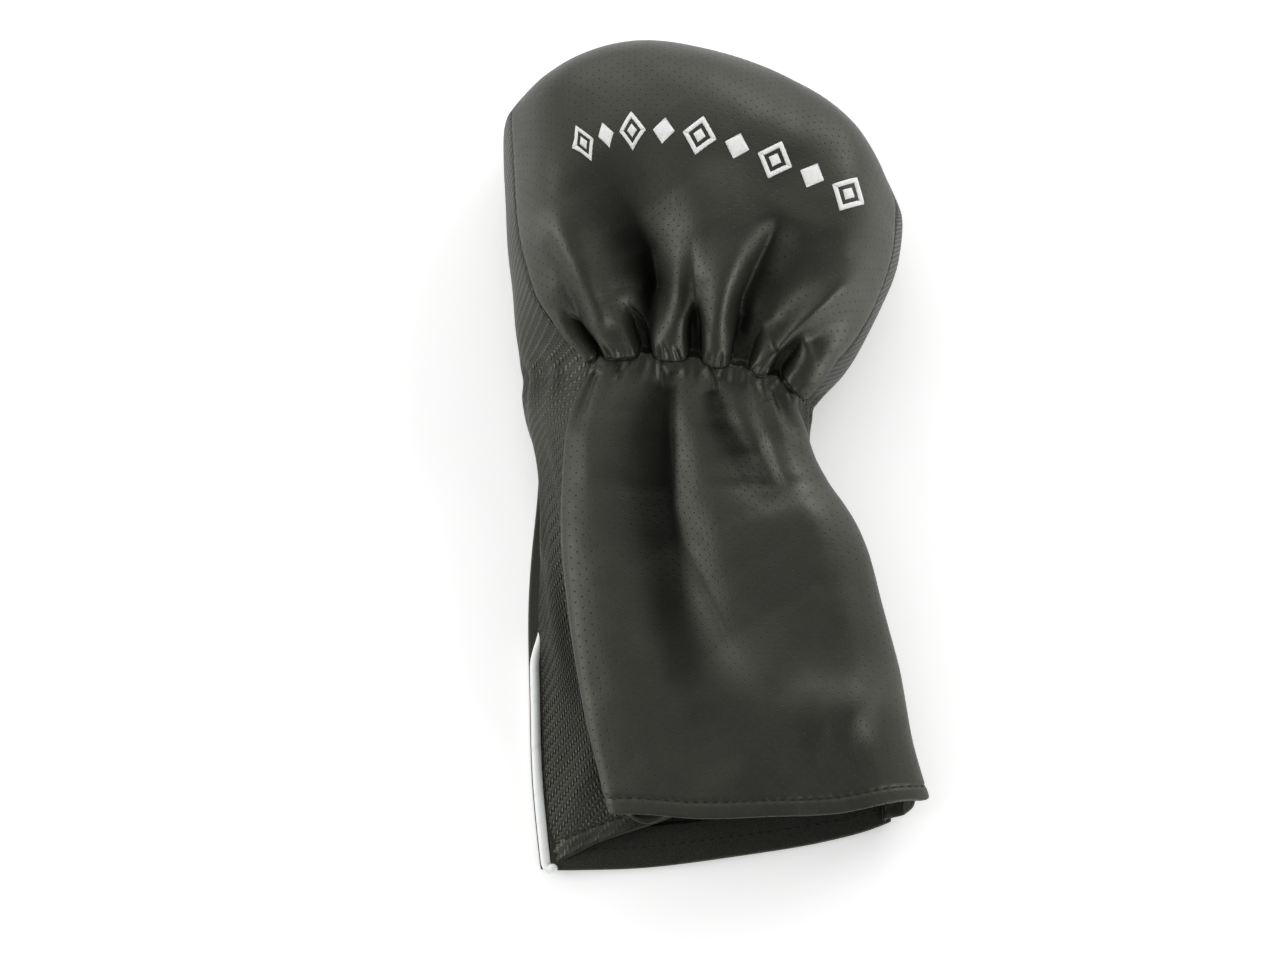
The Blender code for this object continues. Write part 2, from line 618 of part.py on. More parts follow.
def build_piping():
    head_left, head_right = (
        neck_cut(back, edge, HEAD_SIDE, PIPING_NECK_SPARE) for edge in (0.0, 1.0))
    piping("piping_head", np.concatenate([np.linspace(head_left, 0.998, 9),
                                          np.linspace(1.012, 1.988, 16),
                                          np.linspace(2.002, 3 - head_right, 9)]))
    sleeve_left, sleeve_right = (
        neck_cut(back, edge, SLEEVE_SIDE, PIPING_NECK_SPARE) for edge in (0.0, 1.0))
    piping("piping_left_sleeve", np.linspace(0.002, sleeve_left, 12), moving=True)
    piping("piping_right_sleeve", np.linspace(3 - sleeve_right, 2.998, 12), moving=True)


# ---------------------------------------------------------------- neck elastic
# Corners of the loop: place along the neck's line from its middle, height, and how far each
# of the two moves per millimetre of inset.
ELASTIC_CORNERS = np.array([
    (-58.0, 4.6, 1.4, 1.0),
    (45.5, 4.6, -1.0, 1.0),
    (34.0, 41.0, -1.0, -1.0),
    (-35.5, 42.6, 1.0, -1.0),
])
ELASTIC_CORNER_REACH = 5.0      # how far a corner's rounding reaches along its sides
ELASTIC_THREAD_GAP = 0.9
ELASTIC_THREAD_SHIFT = 3.0      # thread towards the head from the band's middle


def neck_loop(inset, steps):
    """A rounded four-sided loop inside the neck, upright on the neck's line."""
    corners = ELASTIC_CORNERS[:, :2] + ELASTIC_CORNERS[:, 2:] * inset
    loop = []
    for k, corner in enumerate(corners):
        back_side = corners[k - 1] - corner
        next_side = corners[(k + 1) % 4] - corner
        back_side *= ELASTIC_CORNER_REACH / np.linalg.norm(back_side)
        next_side *= ELASTIC_CORNER_REACH / np.linalg.norm(next_side)
        for u in np.linspace(0, 1, steps):
            x, z = corner + back_side * (1 - u) ** 2 + next_side * u ** 2
            loop.append(AXIS_POINT + AXIS_DIR * x + np.array([0, 0, z - NECK_AXIS_Z]))
    return loop


def build_elastic():
    widths = np.linspace(-ELASTIC_WIDTH / 2, ELASTIC_WIDTH / 2, 4)
    bm = bmesh.new()
    verts = add_verts(bm, [[p + TO_HEAD * w for w in widths] for p in neck_loop(0.0, 6)])
    for i, row in enumerate(verts):
        following = verts[(i + 1) % len(verts)]
        for j in range(len(widths) - 1):
            bm.faces.new((row[j], following[j], following[j + 1], row[j + 1]))
    bmesh.ops.recalc_face_normals(bm, faces=bm.faces)
    mesh = to_mesh("neck_elastic", bm)
    # The band is open, so its faces may have been turned inwards.
    middle = sum((f.center for f in mesh.polygons), Vector()) / len(mesh.polygons)
    if sum((f.center - middle).dot(f.normal) for f in mesh.polygons) < 0:
        mesh.flip_normals()
    mesh.shade_smooth()
    thicken(add_object("neck_elastic", mesh, ELASTIC_BLACK), ELASTIC_THICKNESS)


def build_elastic_thread():
    loop = neck_loop(ELASTIC_THICKNESS + ELASTIC_THREAD_GAP + THREAD_R, 5)
    path = []
    for k, point in enumerate(loop):
        following = loop[(k + 1) % len(loop)]
        for u in (0.0, 0.5):
            path.append(point + (following - point) * u + TO_HEAD * ELASTIC_THREAD_SHIFT)
    cord("elastic_thread", path, THREAD_R, THREAD_BLACK, cyclic=True)


# ---------------------------------------------------------------- hem topstitching
def build_hem_threads():
    along = STITCH_LINE / LENGTH
    back_z = SLEEVE_LINING_DEPTH + SKIN + THREAD_GAP + THREAD_R     # on the facing, inside
    paths = {
        "front": [lifted(front, across, along, THREAD_GAP + THREAD_R)
                  for across in closer_to_ends(0.05, 0.955, 26)],
        "gusset": [lifted(left_gusset, across, along, GUSSET_THREAD_GAP + THREAD_R)
                   for across in np.linspace(0.46, 0.96, 12)],
        "back": [back(across, along) + np.array([0, 0, back_z])
                 for across in np.linspace(0.12, 0.88, 14)],
    }
    for key, path in paths.items():
        cord("hem_thread_" + key, path, THREAD_R, THREAD_BLACK, moving=True)


# ---------------------------------------------------------------- emblem
DIAMONDS = 7
ROWS_PER_DIAMOND = 8
DIAMOND_HALF_HEIGHT = 6.2
JOIN_HALF_HEIGHT = 0.8          # of the running line between diamonds
EMBLEM_LOW = 0.9                # underside and ridge above the front panel's surface
EMBLEM_HIGH = 1.6
EMBLEM_MARGIN = 0.03            # share of the line left free at each end
# x, y of the line the diamonds sit on
EMBLEM_LINE = [(-56.0, 117.0), (-38.0, 121.5), (-11.8, 118.5), (24.6, 109.5), (57.0, 97.5)]


def front_parameters(target):
    """The front panel's parameters above the point x, y, by Newton's method."""
    across, along = 0.5, 0.85
    e = 1e-3
    for _ in range(12):
        point = front(across, along)
        slope_across = (front(across + e, along) - point)[:2] / e
        slope_along = (front(across, along + e) - point)[:2] / e
        slopes = np.stack([slope_across, slope_along], axis=1)
        step = np.linalg.solve(slopes, target - point[:2])
        across = min(0.99, max(0.01, across + step[0]))
        along = min(0.985, max(NECK_ALONG, along + step[1]))
    return across, along


def emblem_rows():
    """Cross rows of the emblem in x, y: lower edge, middle, upper edge."""
    line = natural_spline(np.linspace(0, 1, len(EMBLEM_LINE)), EMBLEM_LINE)
    count = DIAMONDS * ROWS_PER_DIAMOND
    rows = []
    for k in range(count + 1):
        place = EMBLEM_MARGIN + (1 - 2 * EMBLEM_MARGIN) * k / count
        middle = line(place)
        run = line(place + 1e-3) - line(place - 1e-3)
        normal = np.array([-run[1], run[0]]) / np.linalg.norm(run)
        u = (k % ROWS_PER_DIAMOND) / ROWS_PER_DIAMOND
        half = max(JOIN_HALF_HEIGHT, DIAMOND_HALF_HEIGHT * (1 - abs(2 * u - 1)))
        rows.append([middle - normal * half, middle, middle + normal * half])
    return rows


def build_emblem():
    """An embroidered row of diamonds joined by a running line, following the front's dome."""
    places = [[front_parameters(point) for point in row] for row in emblem_rows()]
    edge = 0.5 * (EMBLEM_LOW + EMBLEM_HIGH)

    def raised(lifts):
        return [[lifted(front, *place, lift) for place, lift in zip(row, lifts)]
                for row in places]

    bm = bmesh.new()
    low = add_verts(bm, raised((EMBLEM_LOW, EMBLEM_LOW, EMBLEM_LOW)))
    high = add_verts(bm, raised((edge, EMBLEM_HIGH, edge)))
    last = len(places) - 1
    for i in range(last):
        for j in range(2):
            bm.faces.new((high[i][j], high[i + 1][j], high[i + 1][j + 1], high[i][j + 1]))
            bm.faces.new((low[i][j], low[i][j + 1], low[i + 1][j + 1], low[i + 1][j]))
        bm.faces.new((low[i][0], low[i + 1][0], high[i + 1][0], high[i][0]))
        bm.faces.new((low[i][2], high[i][2], high[i + 1][2], low[i + 1][2]))
    for i in (0, last):
        for j in range(2):
            quad = (low[i][j], high[i][j], high[i][j + 1], low[i][j + 1])
            bm.faces.new(quad if i == 0 else quad[::-1])
    bmesh.ops.recalc_face_normals(bm, faces=bm.faces)
    add_object("emblem", to_mesh("emblem", bm), THREAD_WHITE)


# ---------------------------------------------------------------- the whole cover
build_head_leather()
build_head_padding()
build_head_lining()
build_sleeve()
build_piping()
build_elastic()
build_elastic_thread()
build_hem_threads()
build_emblem()
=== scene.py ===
"""Looks of a driver head cover: a padded head pocket and a sleeve, gathered between by an elastic.

It lies on its back panel with the front panel on top: +Y runs from the sleeve's hem to the crown,
+X is right and +Z is up. Everything is worked out in millimetres in the part's own frame and
scaled to metres when a mesh is made.

A place on the front or back panel is (across, along): 0..1 from the left seam to the right, and
0..1 from the hem to the crown edge. A place on the gusset, the strip that joins them, is
(down, lap): 0..1 from the front seam to the back seam, and 0..1 up the left side, 1..2 over the
crown, 2..3 down the right side.
"""

import math
from collections import namedtuple

import bpy
import numpy as np
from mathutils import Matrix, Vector


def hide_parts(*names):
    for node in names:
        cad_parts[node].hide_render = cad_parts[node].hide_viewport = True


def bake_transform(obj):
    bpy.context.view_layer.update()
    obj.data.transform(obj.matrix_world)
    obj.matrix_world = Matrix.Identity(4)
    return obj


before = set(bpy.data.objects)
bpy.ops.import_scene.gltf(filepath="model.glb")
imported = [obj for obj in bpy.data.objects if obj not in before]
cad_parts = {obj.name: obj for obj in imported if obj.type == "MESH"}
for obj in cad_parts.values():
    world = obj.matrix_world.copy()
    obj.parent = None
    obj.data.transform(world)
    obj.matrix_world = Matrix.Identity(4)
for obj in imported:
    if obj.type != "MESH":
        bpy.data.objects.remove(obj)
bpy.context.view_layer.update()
MM = 0.001
TURN = 2 * math.pi
SEED = 7
ORIGIN = np.array([-1.115, 2.16, 0.0])   # the frame's origin, in the part's millimetres

# The front panel, one row per station from the hem to the crown edge: left y, right y, bow,
# left seam (x, z), left lip (x, z), z at three places between, right lip (x, z), right seam (x, z)
FRONT_STATIONS = [
    (-149.5, -142.5, -5, (-38, 23), (-44.5, 30), 39, 40, 35, (86, 17), (81, 9)),
    (-122, -118, -3, (-45.5, 25), (-51.4, 32), 42, 44, 39, (79, 19), (74, 10)),
    (-92, -88, -1, (-52.5, 26.5), (-57.5, 33.5), 45, 48, 43, (73.2, 21), (66, 11)),
    (-60, -58, 0, (-57.5, 28.5), (-62, 35.5), 48, 52, 47, (65.6, 23), (58, 12.5)),
    (-30, -30, 0, (-60.5, 31), (-64.3, 37), 50, 54, 50, (56.8, 25), (49.5, 14)),
    (0, -4, 1, (-60.5, 35), (-63, 39), 50, 53, 50, (42, 27), (38, 18)),
    (20, 12.5, 3.5, (-57, 38.5), (-58.4, 41.5), 48, 50, 47, (36.2, 31), (34.8, 25)),
    (35.5, 22.4, 6, (-52.6, 41.5), (-52, 43.6), 47, 48, 46, (33.6, 38.2), (34.4, 35)),
    (50, 34, 6.5, (-67, 44), (-65.5, 48), 58, 61, 56, (46, 44), (47.8, 39.5)),
    (70, 52, 9.5, (-78.5, 46), (-76.3, 51.5), 71, 75, 68, (59.5, 47), (62, 41)),
    (95, 74, 17, (-83.5, 47), (-80.8, 53.5), 77, 82, 74, (68.5, 48.5), (71.2, 42)),
    (119, 91, 29.5, (-85, 47), (-82.2, 53), 76, 80.5, 73, (72, 48), (74.5, 41.5)),
    (136.2, 100.5, 38.8, (-85.9, 45.5), (-83.2, 50), 68, 71, 65.5, (73, 46), (74.8, 41)),
    (142.6, 104.5, 44.6, (-85.8, 44.5), (-82.8, 45.5), 50, 51, 49, (72.4, 42.5), (74.4, 40.5)),
]
NECK_STATION = 7
FRONT_KNOTS = (0.0, 0.035, 0.10, 0.28, 0.50, 0.72, 0.90, 0.965, 1.0)   # across
# How a cross-section arches over the line between its two seams: share across, share of the bow
ARCH_ACROSS = (0.0, 0.04, 0.12, 0.24, 0.34, 0.48, 0.64, 0.76, 0.86, 0.94, 1.0)
ARCH_SHARE = (0.0, 0.20, 0.47, 0.79, 0.945, 1.0, 0.955, 0.87, 0.68, 0.39, 0.0)

# The back panel's edges at the same stations: left (x, y), right (x, y), bow
BACK_STATIONS = [
    ((-72, -168.8), (70.5, -149.5), -5.6),
    ((-75.7, -133.5), (70.5, -121), -3.8),
    ((-77, -98), (62.5, -91), -2),
    ((-77.8, -63), (53, -60), 0),
    ((-76, -31), (43.5, -31), 0),
    ((-74, 0), (35.5, -5), 1),
    ((-77, 19), (34.5, 11), 2),
    ((-80, 34), (36.5, 21), 3),
    ((-81, 50), (44.5, 33), 5),
    ((-82.5, 71), (56.5, 52), 9),
    ((-84, 95), (68, 74), 17),
    ((-84.5, 118), (72.5, 91), 29),
    ((-84.4, 136), (72.6, 100), 39),
    ((-83.2, 143.5), (71.5, 104.5), 45),
]

# The gusset: knots down it, its outward bulge at each station, and its height at the back seam
GUSSET_KNOTS = (0.0, 0.14, 0.26, 0.33, 0.40, 0.70, 1.0)
LEFT_BULGE = (0, 0, 0, 0.5, 5.5, 8, 12, 13, 9, 5, 4.5, 4.5, 4.5, 4)
RIGHT_BULGE = (2, 2, 2, 2, 2.5, 3.5, 4.5, 6, 6, 4.5, 4.5, 4.5, 4.5, 4)
CROWN_BULGE = 4.0
BACK_SEAM_Z = np.array([0, 0, 3.2])
# The left side's inward fold at the first stations: crease x, crease z, share of the fold (1 is
# full), and how far the lower flap sags to the left
CREASE = [(-16, 18.5, 1, 1.2), (-28, 19.5, 1, 1.2), (-40, 20.5, 1, 1.6), (-49, 21.5, 0.85, 4.5),
          (-57, 22.5, 0.5, 3.5), (-63, 24, 0.15, 1.0)]
HEM_CREASE_Y = (-147.8, -146.8, -148.6, -157.5)   # the folded hem at its four middle knots


# ---------------------------------------------------------------- smooth interpolation
def natural_spline(knots, values):
    """A natural cubic spline through values[i] at knots[i], as a function of an array."""
    knots = np.asarray(knots, float)
    values = np.asarray(values, float)
    count = len(knots)
    gap = np.diff(knots)
    matrix = np.zeros((count, count))
    target = np.zeros(values.shape)
    matrix[0, 0] = matrix[-1, -1] = 1.0
    for i in range(1, count - 1):
        matrix[i, i - 1:i + 2] = gap[i - 1], 2 * (gap[i - 1] + gap[i]), gap[i]
        target[i] = 6 * ((values[i + 1] - values[i]) / gap[i]
                         - (values[i] - values[i - 1]) / gap[i - 1])
    bend = np.linalg.solve(matrix, target.reshape(count, -1)).reshape(target.shape)

    def at(place):
        place = np.clip(np.asarray(place, float), knots[0], knots[-1])
        i = np.clip(np.searchsorted(knots, place, side="right") - 1, 0, count - 2)
        shape = place.shape + (1,) * (values.ndim - 1)
        done = (place - knots[i]).reshape(shape)
        left = (knots[i + 1] - place).reshape(shape)
        span = gap[i].reshape(shape)
        return ((bend[i] * left**3 + bend[i + 1] * done**3) / (6 * span)
                + (values[i] / span - bend[i] * span / 6) * left
                + (values[i + 1] / span - bend[i + 1] * span / 6) * done)

    return at


def loft(knots, lengthwise, across, along):
    """Surface points: lengthwise(along) gives a cross-section, splined across through knots."""
    across, along = np.broadcast_arrays(np.asarray(across, float), np.asarray(along, float))
    shape = across.shape
    across, along = across.ravel(), along.ravel()
    sections = lengthwise(along)
    out = np.empty((len(along), 3))
    for value in np.unique(along):
        here = along == value
        out[here] = natural_spline(knots, sections[here][0])(across[here])
    return out.reshape(shape + (3,))


def station_lengths():
    """Length from the hem to each station, along the middle of the front panel."""
    middle = [(0.5 * (row[0] + row[1]) + row[2], row[6]) for row in FRONT_STATIONS]
    lengths = [0.0]
    for (y0, z0), (y1, z1) in zip(middle, middle[1:]):
        lengths.append(lengths[-1] + math.hypot(y1 - y0, z1 - z0))
    return lengths


LENGTH = station_lengths()[-1]
STATIONS = np.array(station_lengths()) / LENGTH
NECK = float(STATIONS[NECK_STATION])
ARCH = natural_spline(ARCH_ACROSS, ARCH_SHARE)


def above_neck(along):
    """Length from the gather line towards the crown."""
    return (along - NECK) * LENGTH


def side_along(lap):
    """How far along the panels a place round the gusset lies; 1 over the crown."""
    return np.clip(np.where(lap < 1.5, lap, 3 - lap), 0, 1)


# ---------------------------------------------------------------- the panels' smooth shapes
def front_net():
    rows = []
    for y_left, y_right, bow, seam, lip, *heights, lip_right, seam_right in FRONT_STATIONS:
        span = lip_right[0] - lip[0]
        xs = [seam[0], lip[0], lip[0] + 0.055 * span, lip[0] + 0.26 * span, lip[0] + 0.50 * span,
              lip[0] + 0.74 * span, lip_right[0] - 0.055 * span, lip_right[0], seam_right[0]]
        zs = [seam[1], lip[1], lip[1] + 0.62 * (heights[0] - lip[1]), *heights,
              lip_right[1] + 0.62 * (heights[2] - lip_right[1]), lip_right[1], seam_right[1]]
        row = []
        for x, z in zip(xs, zs):
            share = (x - seam[0]) / (seam_right[0] - seam[0])
            share = min(1.0, max(0.0, share))
            row.append((x, y_left + (y_right - y_left) * share + bow * float(ARCH(share)), z))
        rows.append(row)
    return np.array(rows)


FRONT_LENGTHWISE = natural_spline(STATIONS, front_net())
BACK_EDGES = natural_spline(STATIONS, [[(*left, 0), (*right, 0), (0, bow, 0)]
                                       for left, right, bow in BACK_STATIONS])


def front(across, along):
    """The front panel's outer surface."""
    return loft(FRONT_KNOTS, FRONT_LENGTHWISE, across, along)


def back(across, along):
    """The back panel's outer surface, flat on z = 0."""
    across, along = np.broadcast_arrays(np.asarray(across, float), np.asarray(along, float))
    edges = BACK_EDGES(along)
    points = edges[..., 0, :] * (1 - across[..., None]) + edges[..., 1, :] * across[..., None]
    points[..., 1] += edges[..., 2, 1] * ARCH(across)
    return points


def side_net(left):
    """The control net of one side of the gusset, for every station."""
    across, outward, bulges = (0.0, -1.0, LEFT_BULGE) if left else (1.0, 1.0, RIGHT_BULGE)
    rows = []
    for station, (along, bulge) in enumerate(zip(STATIONS, bulges)):
        top = front(across, along)
        low = back(across, along) + BACK_SEAM_Z
        out = np.array([outward, 0, 0])
        row = [top + (low - top) * down + out * bulge * math.sin(math.pi * down)
               for down in GUSSET_KNOTS]
        if left and station < len(CREASE):
            x, z, share, sag = CREASE[station]
            ys = [top[1] + (low[1] - top[1]) * down for down in GUSSET_KNOTS]
            if station == 0:
                ys[2:6] = HEM_CREASE_Y
            folded = [
                top,
                (top[0] + 0.5 * (x - 3.5 - top[0]), ys[1], top[2] + 0.45 * (z + 3.6 - top[2])),
                (x - 3.5, ys[2], z + 3.6),
                (x, ys[3], z),
                (x - 4.0, ys[4], z - 4.0),
                (0.5 * (x - 4 + low[0]) - sag, ys[5], 0.5 * (z - 4 + low[2]) + 1.2),
                low,
            ]
            row = [np.array(flat) * (1 - share) + np.array(fold_) * share
                   for flat, fold_ in zip(row, folded)]
        rows.append(row)
    return np.array(rows)


LEFT_SIDE = natural_spline(STATIONS, side_net(True))
RIGHT_SIDE = natural_spline(STATIONS, side_net(False))


def gusset_crown(down, across):
    """The gusset between the front panel's and the back panel's crown edges."""
    down, across = np.broadcast_arrays(np.asarray(down, float), np.asarray(across, float))
    top, low = front(across, 1.0), back(across, 1.0) + BACK_SEAM_Z
    points = top * (1 - down[..., None]) + low * down[..., None]
    angle = math.pi * (0.98 - 0.96 * across)
    out = np.stack([np.cos(angle), np.sin(angle), np.zeros_like(angle)], axis=-1)
    return points + out * (CROWN_BULGE * np.sin(math.pi * down))[..., None]


def round_the_edge(lap, left, crown, right):
    """Picks from three surfaces by the place round the strip."""
    return np.where((lap < 1)[..., None], left, np.where((lap <= 2)[..., None], crown, right))


def gusset(down, lap):
    """The whole gusset strip."""
    return round_the_edge(lap, loft(GUSSET_KNOTS, LEFT_SIDE, down, np.clip(lap, 0, 1)),
                          gusset_crown(down, np.clip(lap - 1, 0, 1)),
                          loft(GUSSET_KNOTS, RIGHT_SIDE, down, np.clip(3 - lap, 0, 1)))


# ---------------------------------------------------------------- small tools
def smooth(x, low, high):
    share = np.clip((np.asarray(x, float) - low) / (high - low), 0, 1)
    return share * share * (3 - 2 * share)


def bell(x, width):
    return np.exp(-((x / width) ** 2))


def decay(x, reach):
    return np.exp(-x / reach)


def hump(x, reach):
    """Rises from 0 to 1 at reach, then dies away slowly."""
    return (x / reach) * np.exp(1 - x / reach)


def spread(share, values):
    """Values spaced evenly over 0..1, read at a share."""
    return np.interp(share, np.linspace(0, 1, len(values)), values)


def clear_of_sides(across, margin):
    """0 at both side edges, 1 further in than the margin."""
    return smooth(across, 0.0, margin) * smooth(1 - across, 0.0, margin)


def unit(vectors):
    return vectors / np.maximum(np.linalg.norm(vectors, axis=-1, keepdims=True), 1e-9)


def graded(breaks, counts):
    """Values from the first break to the last, with its own count between each two."""
    runs = [np.linspace(low, high, count)[:-1]
            for low, high, count in zip(breaks, breaks[1:], counts)]
    return np.concatenate(runs + [breaks[-1:]])


def value_noise(x, y, scale, seed):
    """Smooth noise in -1..1 over a plane, the same every run."""
    table = np.random.default_rng(seed).uniform(-1, 1, (128, 128))
    # The offsets keep the table's own lattice lines off the piece's middle.
    column, row = np.asarray(x) / scale + 40.37, np.asarray(y) / scale + 61.83
    i, j = np.floor(column).astype(int), np.floor(row).astype(int)
    right, up = column - i, row - j
    right, up = right * right * (3 - 2 * right), up * up * (3 - 2 * up)
    low = table[i % 128, j % 128] * (1 - right) + table[(i + 1) % 128, j % 128] * right
    high = (table[i % 128, (j + 1) % 128] * (1 - right)
            + table[(i + 1) % 128, (j + 1) % 128] * right)
    return low * (1 - up) + high * up


def along_path(x, y, path):
    """Distance to a path in plan, share of its length at the nearest point, and side (+1 left)."""
    path = np.asarray(path, float)
    legs = np.diff(path, axis=0)
    size = np.hypot(legs[:, 0], legs[:, 1])
    start = np.concatenate([[0], np.cumsum(size)])
    best = np.full(np.shape(x), 1e9)
    share = np.zeros(np.shape(x))
    side = np.zeros(np.shape(x))
    for k, leg in enumerate(legs):
        from_x, from_y = x - path[k, 0], y - path[k, 1]
        part = np.clip((from_x * leg[0] + from_y * leg[1]) / size[k] ** 2, 0, 1)
        distance = np.hypot(from_x - part * leg[0], from_y - part * leg[1])
        near = distance < best
        best = np.where(near, distance, best)
        share = np.where(near, (start[k] + part * size[k]) / start[-1], share)
        side = np.where(near, np.sign(leg[0] * from_y - leg[1] * from_x), side)
    return best, share, side


def fade_ends(share, fades):
    """1 along a path, falling to 0 over a share of its length at each end; 0 is no fade."""
    ends = 1.0
    if fades[0] > 0:
        ends = ends * smooth(share, 0, fades[0])
    if fades[1] > 0:
        ends = ends * smooth(1 - share, 0, fades[1])
    return ends


def fold(x, y, path, heights, widths, fades, sharp=2.0):
    """A ridge (height above 0) or a valley (below 0) along a path."""
    distance, share, _ = along_path(x, y, path)
    return (spread(share, heights) * fade_ends(share, fades)
            * np.exp(-((distance / spread(share, widths)) ** sharp)))


def roll(x, y, path, depths, left, right, fades, softness):
    """A crease along a path, reaching its own distance to each side; softness rounds its floor.

    The paths run towards the hem, so left is the -X side and right the +X side.
    """
    distance, share, side = along_path(x, y, path)
    distance = np.hypot(distance, spread(share, softness))
    shape = np.where(side > 0, np.exp(-((distance / spread(share, right)) ** 1.25)),
                     np.exp(-((distance / spread(share, left)) ** 1.35)))
    return -spread(share, depths) * fade_ends(share, fades) * shape


def grid_normals(points):
    """Unit normals of a grid of points, along d/drow x d/dcolumn."""
    return unit(np.cross(np.gradient(points, axis=0), np.gradient(points, axis=1)))


def to_frame(points):
    return (np.asarray(points, float) - ORIGIN) * MM


# ---------------------------------------------------------------- node materials
class Output:
    """A node's output; sums with it build Math nodes."""

    def __init__(self, nodes, socket):
        self.nodes = nodes
        self.socket = socket

    def __add__(self, other):
        return self.nodes.math("ADD", self, other)

    def __radd__(self, other):
        return self.nodes.math("ADD", other, self)

    def __sub__(self, other):
        return self.nodes.math("SUBTRACT", self, other)

    def __rsub__(self, other):
        return self.nodes.math("SUBTRACT", other, self)

    def __mul__(self, other):
        return self.nodes.math("MULTIPLY", self, other)

    def __truediv__(self, other):
        return self.nodes.math("DIVIDE", self, other)

    def __mod__(self, other):
        return self.nodes.math("MODULO", self, other)

    def __pow__(self, other):
        return self.nodes.math("POWER", self, other)

    def __abs__(self):
        return self.nodes.math("ABSOLUTE", self)


class Nodes:
    """Short calls for building a node tree."""

    spare = ()   # values for the inputs a Math node is not given

    def __init__(self, tree):
        self.tree = tree

    def add(self, kind, **props):
        node = self.tree.nodes.new(kind)
        for key, value in props.items():
            setattr(node, key, value)
        return node

    def put(self, value, socket):
        """Links an Output to a socket, or sets a number, colour or vector there."""
        if isinstance(value, Output):
            self.tree.links.new(value.socket, socket)
        else:
            socket.default_value = value

    def fill(self, node, output=0, **inputs):
        """Sets inputs by name (_ for a space) and gives back one output."""
        for key, value in inputs.items():
            self.put(value, node.inputs[key.replace("_", " ")])
        return Output(self, node.outputs[output])

    def math(self, operation, *values):
        node = self.add("ShaderNodeMath", operation=operation)
        for value, socket in zip(values + self.spare, node.inputs):
            self.put(value, socket)
        return Output(self, node.outputs[0])

    def ramp(self, value, low, high, to_low=0.0, to_high=1.0):
        """A smooth step from to_low at low to to_high at high."""
        node = self.add("ShaderNodeMapRange", interpolation_type="SMOOTHSTEP")
        return self.fill(node, Value=value, From_Min=low, From_Max=high,
                         To_Min=to_low, To_Max=to_high)


class Material(Nodes):
    """A node material round one Principled shader."""

    spare = (0.0, 0.0)

    def __init__(self, name):
        self.material = bpy.data.materials.new(name)
        self.material.use_nodes = True
        super().__init__(self.material.node_tree)
        self.tree.nodes.clear()
        out = self.add("ShaderNodeOutputMaterial")
        self.shader = self.add("ShaderNodeBsdfPrincipled")
        self.put(Output(self, self.shader.outputs[0]), out.inputs[0])

    def separate(self, point):
        node = self.add("ShaderNodeSeparateXYZ")
        self.put(point, node.inputs[0])
        return [Output(self, socket) for socket in node.outputs]

    def pattern(self):
        """The piece's flat-pattern coordinates, in millimetres."""
        node = self.add("ShaderNodeUVMap", uv_map="UVMap")
        x, y, _ = self.separate(Output(self, node.outputs[0]))
        return x * 1000.0, y * 1000.0

    def vector(self, x, y):
        return self.fill(self.add("ShaderNodeCombineXYZ"), X=x, Y=y, Z=0.0)

    def position(self, kind="ShaderNodeTexCoord", output="Object"):
        """A position in millimetres: the object's own, or another node's output."""
        point = Output(self, self.add(kind).outputs[output])
        scale = self.add("ShaderNodeVectorMath", operation="SCALE")
        self.put(point, scale.inputs[0])
        return self.fill(scale, Scale=1000.0)

    def noise(self, point, scale, detail=2.0, rough=0.5, distortion=0.0):
        return self.fill(self.add("ShaderNodeTexNoise"), Vector=point, Scale=scale,
                         Detail=detail, Roughness=rough, Distortion=distortion)

    def voronoi(self, point, scale, feature="F1"):
        node = self.add("ShaderNodeTexVoronoi", feature=feature)
        return self.fill(node, Vector=point, Scale=scale)

    def mix(self, factor, low, high):
        """Two colours mixed: low at factor 0, high at 1."""
        node = self.add("ShaderNodeMix", data_type="RGBA")
        for value, socket in ((factor, 0), (low, 6), (high, 7)):   # its colour sockets
            self.put(value, node.inputs[socket])
        return Output(self, node.outputs[2])

    def bump(self, height, strength):
        normal = self.fill(self.add("ShaderNodeBump"), Strength=strength, Distance=0.001,
                           Height=height)
        self.put(normal, self.shader.inputs["Normal"])

    def finish(self, colour, roughness, **more):
        self.fill(self.shader, Base_Color=colour, Roughness=roughness, **more)
        return self.material


def grey(level):
    return (level, level, level, 1.0)


BLACK = (0.0135, 0.0140, 0.0112, 1.0)
BLACK_WORN = (0.021, 0.0215, 0.0175, 1.0)
OLIVE = (1.0, 1.0, 0.87, 1.0)      # tint of the highlights
HEM_WEAVE_EDGE = 6.4               # the weave is pressed flat nearer to the hem than this
WEAVE_CELL = 1.22
HOLE_PITCH = 3.15
HOLE_TURN = math.radians(42)       # the square lattice of holes is turned by this


def grain(nodes, x, y, size=1.0):
    """Fine pebbled grain: rounded cells with creases between them, about half a millimetre."""
    point = nodes.vector(x, y)
    cells = nodes.voronoi(point, scale=1.9 / size, feature="SMOOTH_F1")
    fine = nodes.noise(point, scale=4.2 / size, detail=3.0, rough=0.6)
    return cells * -0.030 + fine * 0.022


def worn_black(nodes, point):
    wear = nodes.noise(point, scale=0.035, detail=4.0, rough=0.6)
    return nodes.mix(nodes.ramp(wear, low=0.45, high=0.75), BLACK, BLACK_WORN)


